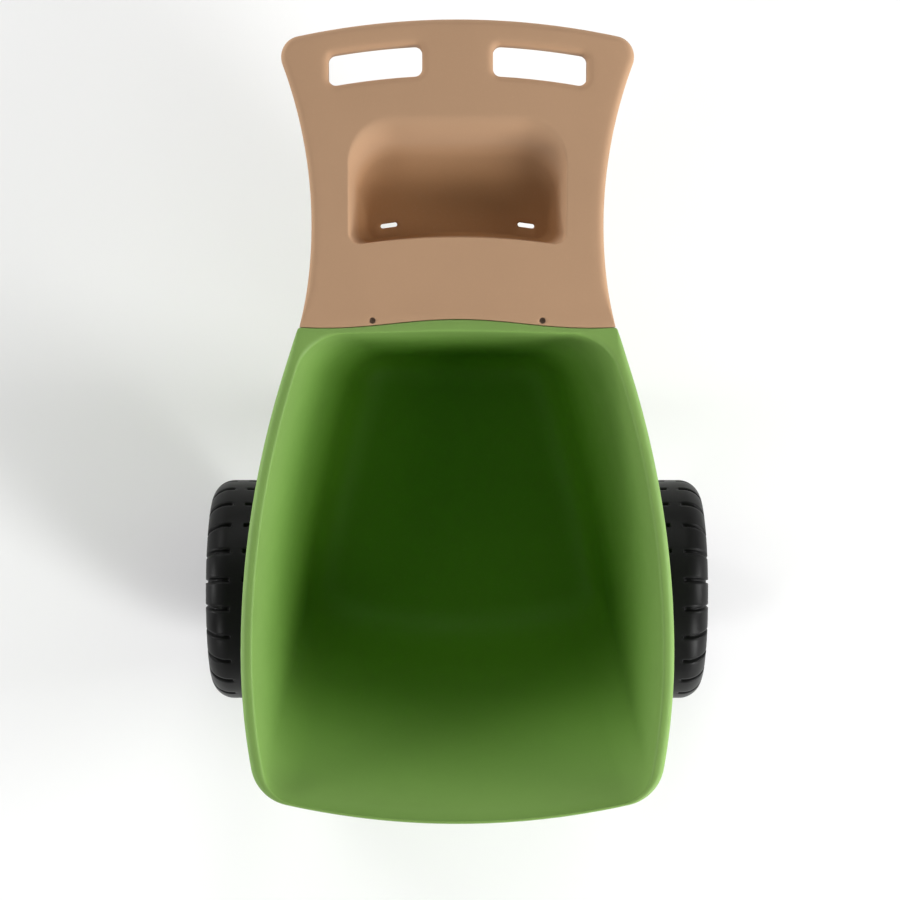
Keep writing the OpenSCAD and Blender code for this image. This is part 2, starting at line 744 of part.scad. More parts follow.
function round_rect(c, size, r, z, n = 4) = [
    for (q = [0:3], i = [0:n])
        let (
            a = 90 - 90 * q - 90 * i / n, sx = q < 2 ? 1 : -1, sy = q == 0 || q == 3 ? 1 : -1,
            mid = c + [sx * (size.x / 2 - r), sy * (size.y / 2 - r)]
        )
        [mid.x + r * cos(a), mid.y + r * sin(a), z],
];

// One leg: a hollow tapering post under a screwed flange
leg_flange_t = 7;
leg_top = [62, 74];
foot_size = [58, 66];
leg_wall = 5;
leg_corner_r = 14;
foot_corner_r = 12;
leg_taper = [8, 8];
leg_neck_h = 24;
leg_neck = 0.08;
foot_neck_h = 20;
foot_h = 10;
sole_t = 14;
module rear_leg(s) {
    top_z = z_pad - leg_flange_t;
    head = [s * leg_off, y_leg];
    foot = head + [s * leg_splay, leg_rake];
    neck = lerp(head, foot, leg_neck);
    ankle = lerp(head, foot, 1 - leg_neck);
    hollow = 2 * [leg_wall, leg_wall];
    hollow_r = leg_corner_r - leg_wall;
    color("#2f2f2f")
    difference() {
        union() {
            slab(head.x, head.y, leg_flange, top_z, z_pad);
            loft([
                round_rect(head, leg_top, leg_corner_r, z_pad - join),
                round_rect(neck, leg_top - leg_taper, leg_corner_r, top_z - leg_neck_h),
                round_rect(ankle, foot_size - leg_taper, foot_corner_r, foot_neck_h),
                round_rect(foot, foot_size, foot_corner_r, foot_h),
                round_rect(foot, foot_size, foot_corner_r, 0),
            ]);
        }
        loft([
            round_rect(head, leg_top - hollow, hollow_r, z_pad + join),
            round_rect(neck, leg_top - leg_taper - hollow, hollow_r, top_z - leg_neck_h),
            round_rect(ankle, foot_size - leg_taper - hollow, foot_corner_r - leg_wall, sole_t),
        ]);
        posts(leg_spots, screw_r + hole_gap, top_z - 1, z_pad + 1);
        posts(leg_spots, screw_head_r + 1, top_z - 30, top_z);
    }
}

module leg_screws() {
    color("#9a9da0") floor_screws(leg_spots, leg_flange_t);
}

tub();
handle_panel();
seam_screws();
handle_bolts();
handle_bolt_washers();
axle();
axle_bracket(-1);  // axle_bracket_left
axle_bracket(1);  // axle_bracket_right
bracket_screws();
spacer(-1);  // spacer_left
spacer(1);  // spacer_right
washers(x_inner_washer);  // inner_washers
washers(x_outer_washer);  // outer_washers
cap_nuts();
wheel(-1);  // wheel_left
wheel(1);  // wheel_right
bushings(-1);  // bushings_left
bushings(1);  // bushings_right
hub_cap(-1);  // hub_cap_left
hub_cap(1);  // hub_cap_right
rear_leg(-1);  // rear_leg_left
rear_leg(1);  // rear_leg_right
leg_screws();
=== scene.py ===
import math

import bmesh
import bpy
import numpy as np
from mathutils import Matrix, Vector
from mathutils.geometry import delaunay_2d_cdt


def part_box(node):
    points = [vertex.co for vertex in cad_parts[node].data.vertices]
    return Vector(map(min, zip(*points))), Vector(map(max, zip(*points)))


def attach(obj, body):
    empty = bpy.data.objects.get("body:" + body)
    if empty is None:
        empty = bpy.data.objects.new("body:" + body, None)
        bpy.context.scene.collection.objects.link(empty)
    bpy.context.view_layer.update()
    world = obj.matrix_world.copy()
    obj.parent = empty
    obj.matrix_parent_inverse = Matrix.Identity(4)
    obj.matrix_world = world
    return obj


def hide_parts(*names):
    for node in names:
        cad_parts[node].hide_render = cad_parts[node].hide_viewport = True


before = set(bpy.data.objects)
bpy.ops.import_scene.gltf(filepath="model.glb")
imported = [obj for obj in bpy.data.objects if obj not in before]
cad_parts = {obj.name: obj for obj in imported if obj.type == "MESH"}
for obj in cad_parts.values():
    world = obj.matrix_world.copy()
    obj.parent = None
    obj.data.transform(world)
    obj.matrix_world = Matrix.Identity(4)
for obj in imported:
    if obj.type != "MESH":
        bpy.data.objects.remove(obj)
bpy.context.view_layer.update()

MM = 0.001


def box_mm(node):
    """The low and the high corner of a CAD node's box, in millimetres."""
    return [np.array(corner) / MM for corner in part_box(node)]


# ---------------------------------------------------------------- driving sizes, in millimetres
# _R is a radius, _HW a half width, _W a width, _T a thickness and _N a count

TUB_LOW, TUB_HIGH = box_mm("tub")
PANEL_HIGH = box_mm("handle_panel")[1]
WHEEL_LOW, WHEEL_HIGH = box_mm("wheel_right")
AXLE_LOW, AXLE_HIGH = box_mm("axle")

# tub, from the lip in front to the seam with the handle panel
Y_LIP = TUB_LOW[1]
TUB_LEN = 729.4
Y_SEAM = Y_LIP + TUB_LEN
Z_RIM = TUB_HIGH[2]
TUB_DEPTH = 406.4
Z_FLOOR = Z_RIM - TUB_DEPTH
TUB_WALL = 5.0
TUB_HW = 319.6
Y_WIDE = Y_LIP + 250.0
SIDE_BACK_R, SIDE_FRONT_R = 1390.0, 950.0
LIP_R = 1171.0
CORNER_R, CORNER_TRIM = 66.0, 6.0
REAR_R, REAR_IN_R = 6.0, 75.0

# foot of the inner wall: its distances from the seam and the lip, and from the rim's inner edge
# beside those two places, then its radii
FLOOR_REAR_RUN, FLOOR_FRONT_RUN = 30.0, 252.0
FLOOR_REAR_IN, FLOOR_FRONT_IN = 82.0, 50.0
FLOOR_SIDE_R, FLOOR_LIP_R = 3000.0, 733.0
FLOOR_FILLET = 50.0
FLOOR_CORNER_R = FLOOR_FILLET + 10.0

# rim: its width along the sides, at the lip and at the seam, its skirt and its rolled edges
RIM_W = 18.75
LIP_W = 5.4
SEAM_BAND = 9.0
RIM_DROP = 25.0
RIM_ROLL, RIM_IN_ROLL = 12.0, 7.0

# how far below the rim's top the skirt's inside, the outer wall and the inner wall end
SKIRT_ROOT, WALL_ROOT, WALL_END = 16.0, 14.0, 9.0

# the rim's flat top begins, has its middle and ends at these shares of its width
FLAT_FROM, FLAT_MID, FLAT_TO = 0.26, 0.36, 0.46

# seam: how far its middle bows towards the handle and over what half width, how far ahead of it
# the tub's outline is bowed too, and the share of the bow that the rim's inner edge follows
SEAM_RISE, SEAM_HALF = 13.0, 195.0
SEAM_REACH = 60.0
SEAM_SHARE_IN = 0.3

# the gap at the seam, and the panel's top rolling down to it: over what distance and how far
SEAM_GAP = 0.6
SEAM_ROLL, SEAM_DIP = 12.0, 3.2

# shelf behind the tub, which carries the panel's tongue, and the rib along its root
SHELF_HW, SHELF_T, SHELF_SHORT, SHELF_CORNER_R = 220.0, 6.0, 10.0, 6.0
RIB_HW, RIB_LEN, RIB_CORNER_R = 230.0, 9.0, 2.0
SHELF_ROOT = 4.0

# pads under the floor, for the axle brackets and the rear legs
PAD_TOP = Z_FLOOR - TUB_WALL + 1.0
PAD_CORNER_R = 4.0
LEG_PAD_X = (26.0, 110.0)
LEG_PAD_Y = Y_SEAM - 153.0
LEG_PAD_HALF = 48.0

# handle panel, from the seam to its far end
Y_END = PANEL_HIGH[1]
PANEL_T = 38.0
TONGUE_T = 16.0
TONGUE_LEN = 54.0
SKIN = 4.5
HANDLE_RISE = PANEL_HIGH[2] - Z_RIM
WAIST_HW = 214.3
Y_WAIST = Y_SEAM + 155.0
WAIST_R = 655.0
END_R = 1136.0
END_CORNER_R = 30.0
RISE_FROM = Y_SEAM + 28.0
RISE_SOFT = 24.0
SLOPE = HANDLE_RISE / (Y_END - RISE_FROM)
SCREW_SPOT = (125.0, Y_SEAM + 11.2)
SCREW_HOLE_R, SCREW_RIM_R, SCREW_HOLE_DEPTH, SCREW_EDGE = 4.7, 5.1, 5.0, 0.35

# the panel's rounded edges, and the steps in which they are made
TOP_EDGE_R, SLOT_EDGE_R, UNDER_EDGE_R = 12.0, 11.0, 5.0
EDGE_STEPS = np.array([0.0, 0.03, 0.11, 0.24, 0.42, 0.64, 1.0])
SEAM_SOFT = 0.08

# hand slots: the bar beyond them, their height, and how far from the middle they begin and end
GRIP_BAR = 34.5
SLOT_H = 45.0
SLOT_IN = 51.5
SLOT_OUT = 188.0
SLOT_R = 11.0

# tray: its outline at the top, and how far each side has come in at the foot of its wall
TRAY_W = 335.3
TRAY_LEN = 198.1
TRAY_BACK = 118.5
TRAY_DEPTH = 68.0
TRAY_BOW = 12.0
TRAY_WALL_SHARE = 0.84
TRAY_SIDE_RUN, TRAY_FAR_RUN, TRAY_NEAR_RUN = 16.0, 57.0, 8.0
TRAY_FAR_R, TRAY_FAR_R_RUN, TRAY_NEAR_R = 70.0, 10.0, 20.0
TRAY_LIP_IN = 5.2

# shares of those runs at the tray's lip, at the foot of its wall and out on its floor, and where
# its skin comes out of the panel's underside
TRAY_AT_LIP, TRAY_AT_FOOT, TRAY_AT_FLOOR = -0.04, 1.05, 1.95
TRAY_AT_UNDER = 0.55

# drain slots in the tray's floor
DRAIN = (25.0, 6.5)
DRAIN_OFF = 102.0
DRAIN_Y = Y_SEAM + TRAY_BACK + 37.0
DRAIN_TILT = 8.0
DRAIN_EDGE, DRAIN_EDGE_DROP = 3.0, 1.2

# points that fill the panel's faces: their spacing, their spread, the rows along the seam, and
# how near they may come to a rounded edge, a screw hole or a drain
TOP_STEP, UNDER_STEP = 9.0, 12.0
FILL_HW = 260
SEAM_ROW_HW, SEAM_ROW_N = 215, 87
SEAM_ROWS = (1.8, 3.2, 4.8, 6.6, 8.6, 11.0, 14.0)
CLEAR = 5.0
SCREW_CLEAR, SCREW_ROW_CLEAR = 12.0, 6.0
DRAIN_CLEAR = (36.0, 18.0)

# wheels and axle
WHEEL_R = (WHEEL_HIGH[2] - WHEEL_LOW[2]) / 2
WHEEL_W = WHEEL_HIGH[0] - WHEEL_LOW[0]
WHEEL_IN = WHEEL_LOW[0]
AXLE_Y = (AXLE_LOW[1] + AXLE_HIGH[1]) / 2
AXLE_Z = (AXLE_LOW[2] + AXLE_HIGH[2]) / 2

# a wheel's section: its round shoulder, where that begins, its bore, the disc's edge, and how far
# the disc's two faces lie from the wheel's inner face
SHOULDER_R = 35.0
SIDE_R = WHEEL_R - SHOULDER_R
BORE_R = 10.03
SEAT_R = 124.0
DISC_IN, DISC_OUT = 22.0, WHEEL_W - 16.0
SPOKE_PITCH, SPOKE_POCKET_DEPTH = 45.0, 5.0

# its tread: lugs with grooves between them, which leave a plain band in the middle and run on
# down the sidewall
LUGS = 24
GROOVE_DEPTH = 6.5
PLAIN_BAND_HALF = 9.0
GROOVE_RUN = 14.0

# degrees from a lug's middle at which the wheel is cut: the groove lies beyond 6.3 on either side
GROOVE_FROM = 6.3
LUG_PHASES = np.array([-7.5, -7.0, -6.7, -6.45, -6.1, -5.0, -3.2, -1.1,
                       1.1, 3.2, 5.0, 6.1, 6.45, 6.7, 7.0])


# ---------------------------------------------------------------- small helpers

def lerp(a, b, t):
    return a + (b - a) * t


def smooth(t):
    t = np.clip(t, 0.0, 1.0)
    return t * t * (3.0 - 2.0 * t)


def arc(mid, r, a0, a1, n, last=True):
    """n steps of an arc about mid, angles in radians."""
    a = np.linspace(a0, a1, n + 1)
    if not last:
        a = a[:-1]
    return np.column_stack([mid[0] + r * np.cos(a), mid[1] + r * np.sin(a)])


def mirrored(half):
    """A closed outline from its right half, which starts and ends on the middle line."""
    half = np.asarray(half, float)
    other = half[-2:0:-1].copy()
    other[:, 0] *= -1
    return np.vstack([half, other])


def circles_meet(c1, r1, c2, r2):
    """The crossing of two circles that lies right of the line from c1 to c2."""
    c1, c2 = np.array(c1, float), np.array(c2, float)
    d = c2 - c1
    gap = np.hypot(*d)
    a = (r1 * r1 - r2 * r2 + gap * gap) / (2 * gap)
    return c1 + a * d / gap + math.sqrt(r1 * r1 - a * a) * np.array([d[1], -d[0]]) / gap


def turn_to(mid, p):
    return math.atan2(p[1] - mid[1], p[0] - mid[0])


def add_mesh(name, points, faces, material, body, soft_angle=None):
    """A smooth-shaded piece from points in millimetres, riding on a body."""
    metres = [tuple(p) for p in np.asarray(points, float) * MM]
    mesh = bpy.data.meshes.new(name)
    mesh.from_pydata(metres, [], [tuple(f) for f in faces])
    mesh.validate()
    mesh.polygons.foreach_set("use_smooth", [True] * len(mesh.polygons))
    if soft_angle is not None:
        mesh.set_sharp_from_angle(angle=math.radians(soft_angle))
    mesh.materials.append(material)
    piece = bpy.data.objects.new(name, mesh)
    bpy.context.scene.collection.objects.link(piece)
    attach(piece, body)
    return piece


def weld(piece, sharp_angle, dist=0.00002):
    """Joins points that coincide, turns all faces outwards and marks the sharp edges."""
    bm = bmesh.new()
    bm.from_mesh(piece.data)
    bmesh.ops.remove_doubles(bm, verts=bm.verts, dist=dist)
    bmesh.ops.recalc_face_normals(bm, faces=bm.faces)
    for f in bm.faces:
        f.smooth = True
    bm.to_mesh(piece.data)
    bm.free()
    piece.data.set_sharp_from_angle(angle=math.radians(sharp_angle))


class Shell:
    """Collects rings, strips and fans of points into one mesh."""

    def __init__(self):
        self.points = []
        self.faces = []

    def ring(self, pts):
        start = len(self.points)
        self.points.extend(np.asarray(pts, float).tolist())
        return np.arange(start, len(self.points))

    def strip(self, a, b):
        n = len(a)
        for i in range(n):
            j = (i + 1) % n
            self.faces.append((a[i], b[i], b[j], a[j]))

    def rings(self, stack):
        """Joins rings in order and returns the first and last."""
        ids = [self.ring(r) for r in stack]
        for a, b in zip(ids, ids[1:]):
            self.strip(a, b)
        return ids[0], ids[-1]

    def fan(self, ring, flip=False):
        mid = self.ring([np.mean([self.points[i] for i in ring], axis=0)])[0]
        n = len(ring)
        for i in range(n):
            j = (i + 1) % n
            self.faces.append((mid, ring[j], ring[i]) if flip else (mid, ring[i], ring[j]))

    def grid_cap(self, ring, levels, flip=False):
        """Closes a ring with smaller copies of itself and a fan."""
        pts = np.array([self.points[i] for i in ring])
        mid = pts.mean(axis=0)
        last = ring
        for k in range(1, levels):
            nxt = self.ring(lerp(pts, mid, k / levels))
            if flip:
                self.strip(last, nxt)
            else:
                self.strip(nxt, last)
            last = nxt
        self.fan(last, flip)


# ---------------------------------------------------------------- the tub's outlines

def tub_shape(back, front, y_lip, lip_r, corner_r, y_rear, rear_r):
    """A plan outline: side circles (middle, radius), lip, front corner, rear and rear corner."""
    return {"back": back, "front": front, "lip": y_lip, "lip_r": lip_r, "corner": corner_r,
            "rear": y_rear, "rear_r": rear_r}


def grown(o, d):
    return tub_shape((o["back"][0], o["back"][1] + d), (o["front"][0], o["front"][1] + d),
                     o["lip"] - d, o["lip_r"] + d, o["corner"] + d, o["rear"] + d, o["rear_r"] + d)


def side_x(o, y):
    mid, r = o["back"] if y > o["back"][0][1] else o["front"]
    return mid[0] + math.sqrt(r * r - (y - mid[1]) ** 2)


def seam_curve(x):
    return SEAM_RISE * (1 + np.cos(np.pi * np.asarray(x) / SEAM_HALF)) / 2


EDGE_N, CORNER_N, SIDE_N = 22, 14, 44


def tub_outline(o, bulge=0.0):
    """The closed plan outline of a tub shape, its rear bowed out by a share of the seam's curve."""
    (bm, br), (fm, fr) = o["back"], o["front"]
    rear = np.array([0.0, o["rear"] - o["rear_r"]])
    rear[0] = bm[0] + math.sqrt((br - o["rear_r"]) ** 2 - (rear[1] - bm[1]) ** 2)
    rear_turn = turn_to(bm, rear)
    lip_mid = (0.0, o["lip"] + o["lip_r"])
    front = circles_meet(fm, fr - o["corner"], lip_mid, o["lip_r"] - o["corner"])
    turn_a, turn_b = turn_to(fm, front), turn_to(lip_mid, front)
    y_top = rear[1] + o["rear_r"] * math.sin(rear_turn)
    y_low = front[1] + o["corner"] * math.sin(turn_a)
    ys = np.linspace(y_top, y_low, SIDE_N + 1)[1:-1]
    half = np.vstack([
        np.column_stack([np.linspace(0, rear[0], EDGE_N + 1)[:-1], np.full(EDGE_N, o["rear"])]),
        arc(rear, o["rear_r"], math.pi / 2, rear_turn, CORNER_N),
        np.array([[side_x(o, y), y] for y in ys]),
        arc(front, o["corner"], turn_a, turn_b, CORNER_N),
        arc(lip_mid, o["lip_r"], turn_b, -math.pi / 2, EDGE_N)[1:],
    ])
    near = np.clip((half[:, 1] - o["rear"] + SEAM_REACH) / SEAM_REACH, 0, 1)
    half[:, 1] += bulge * near * seam_curve(half[:, 0])
    half[0, 0] = half[-1, 0] = 0.0
    return mirrored(half)


RIM_OUT = tub_shape(((TUB_HW - SIDE_BACK_R, Y_WIDE), SIDE_BACK_R),
                    ((TUB_HW - SIDE_FRONT_R, Y_WIDE), SIDE_FRONT_R),
                    Y_LIP, LIP_R, CORNER_R, Y_SEAM, REAR_R)
RIM_IN = tub_shape((RIM_OUT["back"][0], SIDE_BACK_R - RIM_W),
                   (RIM_OUT["front"][0], SIDE_FRONT_R - RIM_W),
                   Y_LIP + LIP_W, LIP_R - LIP_W, CORNER_R - LIP_W - CORNER_TRIM,
                   Y_SEAM - SEAM_BAND, REAR_IN_R)


def floor_shape():
    """The foot of the inner wall, whose sides are circles through a rear and a front point."""
    rear, front, r = Y_SEAM - FLOOR_REAR_RUN, Y_LIP + FLOOR_FRONT_RUN, FLOOR_SIDE_R
    p = np.array([side_x(RIM_IN, rear) - FLOOR_REAR_IN, rear])
    q = np.array([side_x(RIM_IN, front) - FLOOR_FRONT_IN, front])
    half = (q - p) / 2
    gap = np.hypot(*half)
    away = math.sqrt(r * r - gap * gap)
    side = (tuple((p + q) / 2 - away * np.array([abs(half[1]), half[0]]) / gap), r)
    return tub_shape(side, side, front, FLOOR_LIP_R, FLOOR_CORNER_R, rear, FLOOR_CORNER_R)


FLOOR = floor_shape()


def raised(outline, z):
    """A plan outline as points at height z, which is one number or one for each point."""
    z = np.broadcast_to(np.asarray(z, float), (len(outline),))
    return np.column_stack([outline, z])


def wall_rings(shape, top, z_low, z_high, fillet_n=12, wall_n=22, turn=0.14, belly=0.92):
    """Rings from the flat floor, round the fillet and up the wall to the outline top."""
    flat, foot = tub_outline(grown(shape, -FLOOR_FILLET)), tub_outline(shape)
    reach = turn ** belly
    a = raised(flat, z_low)
    b = raised(foot, z_low)
    c = raised(lerp(foot, top, reach), lerp(z_low, z_high, turn))
    rings = [a]
    for k in range(1, fillet_n + 1):
        t = k / fillet_n
        rings.append(lerp(lerp(a, b, t), lerp(b, c, t), t))
    for k in range(1, wall_n + 1):
        f = lerp(turn, 1.0, k / wall_n)
        rings.append(raised(lerp(foot, top, f ** belly), lerp(z_low, z_high, f)))
    return rings


def towards(a, b, d, most):
    """Outline a moved d millimetres towards outline b, by no more than the share called most."""
    gap = np.linalg.norm(b - a, axis=1)
    share = np.minimum(most, d / gap)[:, None]
    return a + (b - a) * share


def rounded_box(shell, low, high, r, n=3):
    """A box with rounded upright edges and softened top and bottom edges, added to a shell."""
    (x0, y0, z0), (x1, y1, z1) = low, high

    def outline(inset, radius):
        pts = []
        for q, (cx, cy) in enumerate([(x1, y1), (x1, y0), (x0, y0), (x0, y1)]):
            sx = 1 if q < 2 else -1
            sy = 1 if q in (0, 3) else -1
            mid = (cx - sx * (inset + radius), cy - sy * (inset + radius))
            a0 = math.pi / 2 * (1 - q)
            pts.append(arc(mid, radius, a0, a0 - math.pi / 2, n))
        return np.vstack(pts)

    soft = min(1.2, r * 0.6)
    stack = [
        raised(outline(soft, r), z1), raised(outline(soft * 0.3, r), z1 - soft * 0.3),
        raised(outline(0, r), z1 - soft), raised(outline(0, r), z0 + soft),
        raised(outline(soft * 0.3, r), z0 + soft * 0.3), raised(outline(soft, r), z0),
    ]
    first, last = shell.rings(stack)
    shell.fan(first, flip=True)
    shell.fan(last)


# ---------------------------------------------------------------- materials

def new_material(name):
    mat = bpy.data.materials.new(name)
    mat.use_nodes = True
    nodes = mat.node_tree.nodes
    bsdf = nodes["Principled BSDF"]
    return mat, nodes, mat.node_tree.links, bsdf


def noise(nodes, links, coords, scale, detail=2.0, rough=0.5):
    tex = nodes.new("ShaderNodeTexNoise")
    tex.inputs["Scale"].default_value = scale
    tex.inputs["Detail"].default_value = detail
    tex.inputs["Roughness"].default_value = rough
    links.new(coords, tex.inputs["Vector"])
    return tex.outputs["Fac"]


def span(nodes, links, value, low, high, from_low=0.3, from_high=0.7):
    """A value between from_low and from_high, mapped to low..high."""
    m = nodes.new("ShaderNodeMapRange")
    m.inputs["From Min"].default_value = from_low
    m.inputs["From Max"].default_value = from_high
    m.inputs["To Min"].default_value = low
    m.inputs["To Max"].default_value = high
    links.new(value, m.inputs["Value"])
    return m.outputs["Result"]


def mix_colour(nodes, links, fac, a, b):
    mix = nodes.new("ShaderNodeMix")
    mix.data_type = "RGBA"
    links.new(fac, mix.inputs["Factor"])
    for socket, value in ((mix.inputs[6], a), (mix.inputs[7], b)):
        if isinstance(value, tuple):
            socket.default_value = (*value, 1.0)
        else:
            links.new(value, socket)
    return mix.outputs[2]


def moulded(name, colour, tint=0.06, rough=(0.34, 0.46), grain=0.10, grain_scale=900.0, worn=0.18,
            shine=0.5, waviness=0.04, painted_shade_low=None, fades_over=(Z_FLOOR, Z_RIM - 30)):
    """Moulded plastic: fine grain, faint flow waves, cloudy colour, pale flecks and paler edges.

    Where a painted shade colour is given, the plastic has it low down and fades to colour higher
    up. This is painted shade standing in for the dim, bounce-lit depths of a hollow."""
    mat, nodes, links, bsdf = new_material(name)
    coords = nodes.new("ShaderNodeTexCoord").outputs["Object"]
    cloud = noise(nodes, links, coords, 5.0, 3.0, 0.55)
    speck = noise(nodes, links, coords, 260.0, 2.0, 0.6)
    deep = tuple(c * (1 - tint) for c in colour)
    pale = tuple(min(1.0, c * (1 + tint)) for c in colour)
    base = mix_colour(nodes, links, span(nodes, links, cloud, 0.0, 1.0), deep, pale)
    # painted shade: a darker, more saturated colour low down, fading out over the given heights,
    # stands in for the shade deep inside the tub and the tray
    if painted_shade_low:
        height = nodes.new("ShaderNodeSeparateXYZ")
        links.new(coords, height.inputs["Vector"])
        low, high = (z * MM for z in fades_over)
        faded = span(nodes, links, height.outputs["Z"], 0.0, 1.0, low, high)
        base = mix_colour(nodes, links, faded, painted_shade_low, base)
    flecked = tuple(min(1.0, c * 1.25 + 0.004) for c in colour)
    most_fleck = 0.12 if painted_shade_low else 0.35
    flecks = span(nodes, links, speck, 0.0, most_fleck, 0.55, 0.8)
    base = mix_colour(nodes, links, flecks, base, flecked)
    edge = nodes.new("ShaderNodeNewGeometry").outputs["Pointiness"]
    wear = span(nodes, links, edge, 0.0, worn, 0.505, 0.56)
    scuffed = tuple(min(1.0, c * 1.6 + 0.02) for c in colour)
    base = mix_colour(nodes, links, wear, base, scuffed)
    bsdf.inputs["Specular IOR Level"].default_value = shine
    links.new(base, bsdf.inputs["Base Color"])
    smear = noise(nodes, links, coords, 14.0, 4.0, 0.6)
    links.new(span(nodes, links, smear, rough[0], rough[1]), bsdf.inputs["Roughness"])
    waves = noise(nodes, links, coords, 9.0, 1.0, 0.4)
    fine = noise(nodes, links, coords, grain_scale, 2.0, 0.6)
    bump_wave = nodes.new("ShaderNodeBump")
    bump_wave.inputs["Strength"].default_value = waviness
    bump_wave.inputs["Distance"].default_value = 0.01
    links.new(waves, bump_wave.inputs["Height"])
    bump = nodes.new("ShaderNodeBump")
    bump.inputs["Strength"].default_value = grain
    bump.inputs["Distance"].default_value = 0.0006
    links.new(fine, bump.inputs["Height"])
    links.new(bump_wave.outputs["Normal"], bump.inputs["Normal"])
    links.new(bump.outputs["Normal"], bsdf.inputs["Normal"])
    return mat


def metal(name, colour, rough=(0.24, 0.4), scale=(900.0, 40.0, 40.0), brush=0.15, metallic=1.0):
    """Drawn or plated steel with fine directional marks and faint tarnish."""
    mat, nodes, links, bsdf = new_material(name)
    coords = nodes.new("ShaderNodeTexCoord").outputs["Object"]
    stretch = nodes.new("ShaderNodeMapping")
    stretch.inputs["Scale"].default_value = scale
    links.new(coords, stretch.inputs["Vector"])
    marks = noise(nodes, links, stretch.outputs["Vector"], 1.0, 3.0, 0.6)
    tarnish = noise(nodes, links, coords, 60.0, 3.0, 0.6)
    dark = tuple(c * 0.72 for c in colour)
    base = mix_colour(nodes, links, span(nodes, links, tarnish, 0.0, 1.0), dark, colour)
    links.new(base, bsdf.inputs["Base Color"])
    bsdf.inputs["Metallic"].default_value = metallic
    links.new(span(nodes, links, marks, rough[0], rough[1]), bsdf.inputs["Roughness"])
    bump = nodes.new("ShaderNodeBump")
    bump.inputs["Strength"].default_value = brush
    bump.inputs["Distance"].default_value = 0.0003
    links.new(marks, bump.inputs["Height"])
    links.new(bump.outputs["Normal"], bsdf.inputs["Normal"])
    return mat


# the tub's green is painted darker and more saturated low down: painted shade for its dim floor and
# lower walls
GREEN = moulded("green_plastic_skin", (0.183, 0.315, 0.078), tint=0.05, rough=(0.46, 0.56),
                shine=0.2, painted_shade_low=(0.108, 0.30, 0.010))
# the tan is painted darker from 45 mm to 2 mm below the rim: painted shade in the tray's hollow and
# under the panel
TAN = moulded("tan_plastic_skin", (0.423, 0.263, 0.158), tint=0.03, rough=(0.58, 0.68),
              worn=0.08, shine=0.06, painted_shade_low=(0.40, 0.21, 0.095),
              fades_over=(Z_RIM - 45, Z_RIM - 2))
TREAD = moulded("wheel_plastic_skin", (0.0065, 0.0065, 0.0065), tint=0.2, grain_scale=700.0,
                worn=0.06, shine=0.09)
BLACK = moulded("black_plastic_skin", (0.016, 0.016, 0.016), tint=0.15, rough=(0.4, 0.55),
                grain=0.25, grain_scale=600.0, worn=0.2)
NYLON = moulded("nylon_skin", (0.62, 0.6, 0.52), tint=0.04, rough=(0.35, 0.5), worn=0.05)
ZINC = metal("zinc_steel_skin", (0.62, 0.63, 0.64))
STEEL = metal("axle_steel_skin", (0.42, 0.43, 0.44), scale=(30.0, 900.0, 900.0))
BRONZE = metal("dark_steel_skin", (0.24, 0.17, 0.12), rough=(0.35, 0.5), metallic=0.5)


# ---------------------------------------------------------------- tub

def rim_rings(rim_in, rim_out, wall_top, inner_roll, roll):
    """Rings from the inner wall over the rim, down its skirt and back up to the outer wall."""
    skirt_in = towards(rim_out, rim_in, TUB_WALL * 0.75, 0.25)
    skirt_z = Z_RIM - RIM_DROP
    rings = []
    for a in np.radians([18, 36, 54, 72, 90]):
        share = FLAT_FROM * (1 - math.cos(a))
        rings.append(raised(lerp(rim_in, rim_out, share), Z_RIM - inner_roll * (1 - math.sin(a))))
    rings.append(raised(lerp(rim_in, rim_out, FLAT_MID), Z_RIM))
    for a in np.radians([0, 15, 30, 45, 60, 75, 90]):
        share = FLAT_TO + (1 - FLAT_TO) * math.sin(a)
        rings.append(raised(lerp(rim_in, rim_out, share), Z_RIM - roll * (1 - math.cos(a))))
    for t in (0.35, 0.75):
        rings.append(raised(rim_out, lerp(Z_RIM - roll, skirt_z + 1.5, t)))
    for share, up in ((0.0, 1.2), (0.3, 0.3), (0.6, 0.0), (0.95, 0.6)):
        rings.append(raised(lerp(rim_out, skirt_in, share), skirt_z + up))
    rings.append(raised(skirt_in, skirt_z + 2.0))
    rings.append(raised(skirt_in, Z_RIM - SKIRT_ROOT))
    rings.append(raised(lerp(skirt_in, wall_top, 0.5), Z_RIM - WALL_ROOT))
    return rings


def add_shelf(shell):
    """The shelf that the panel's tongue lies on, and the rib along its root."""
    top, root = Z_RIM - TONGUE_T, Y_SEAM - SHELF_ROOT
    rounded_box(shell, (-SHELF_HW, root, top - SHELF_T),
                (SHELF_HW, Y_SEAM + TONGUE_LEN - SHELF_SHORT, top), SHELF_CORNER_R)
    rounded_box(shell, (-RIB_HW, root, top - SHELF_T - 1), (RIB_HW, Y_SEAM + RIB_LEN, top - 1),
                RIB_CORNER_R)


def add_pads(shell):
    """The pads under the tub's floor, one over each axle bracket and rear leg."""
    for side, name in ((-1, "left"), (1, "right")):
        low, high = box_mm(f"axle_bracket_{name}")
        rounded_box(shell, (low[0], low[1], high[2]), (high[0], high[1], PAD_TOP), PAD_CORNER_R)
        leg_top = box_mm(f"rear_leg_{name}")[1][2]
        x0, x1 = sorted(side * x for x in LEG_PAD_X)
        rounded_box(shell, (x0, LEG_PAD_Y - LEG_PAD_HALF, leg_top),
                    (x1, LEG_PAD_Y + LEG_PAD_HALF, PAD_TOP), PAD_CORNER_R)


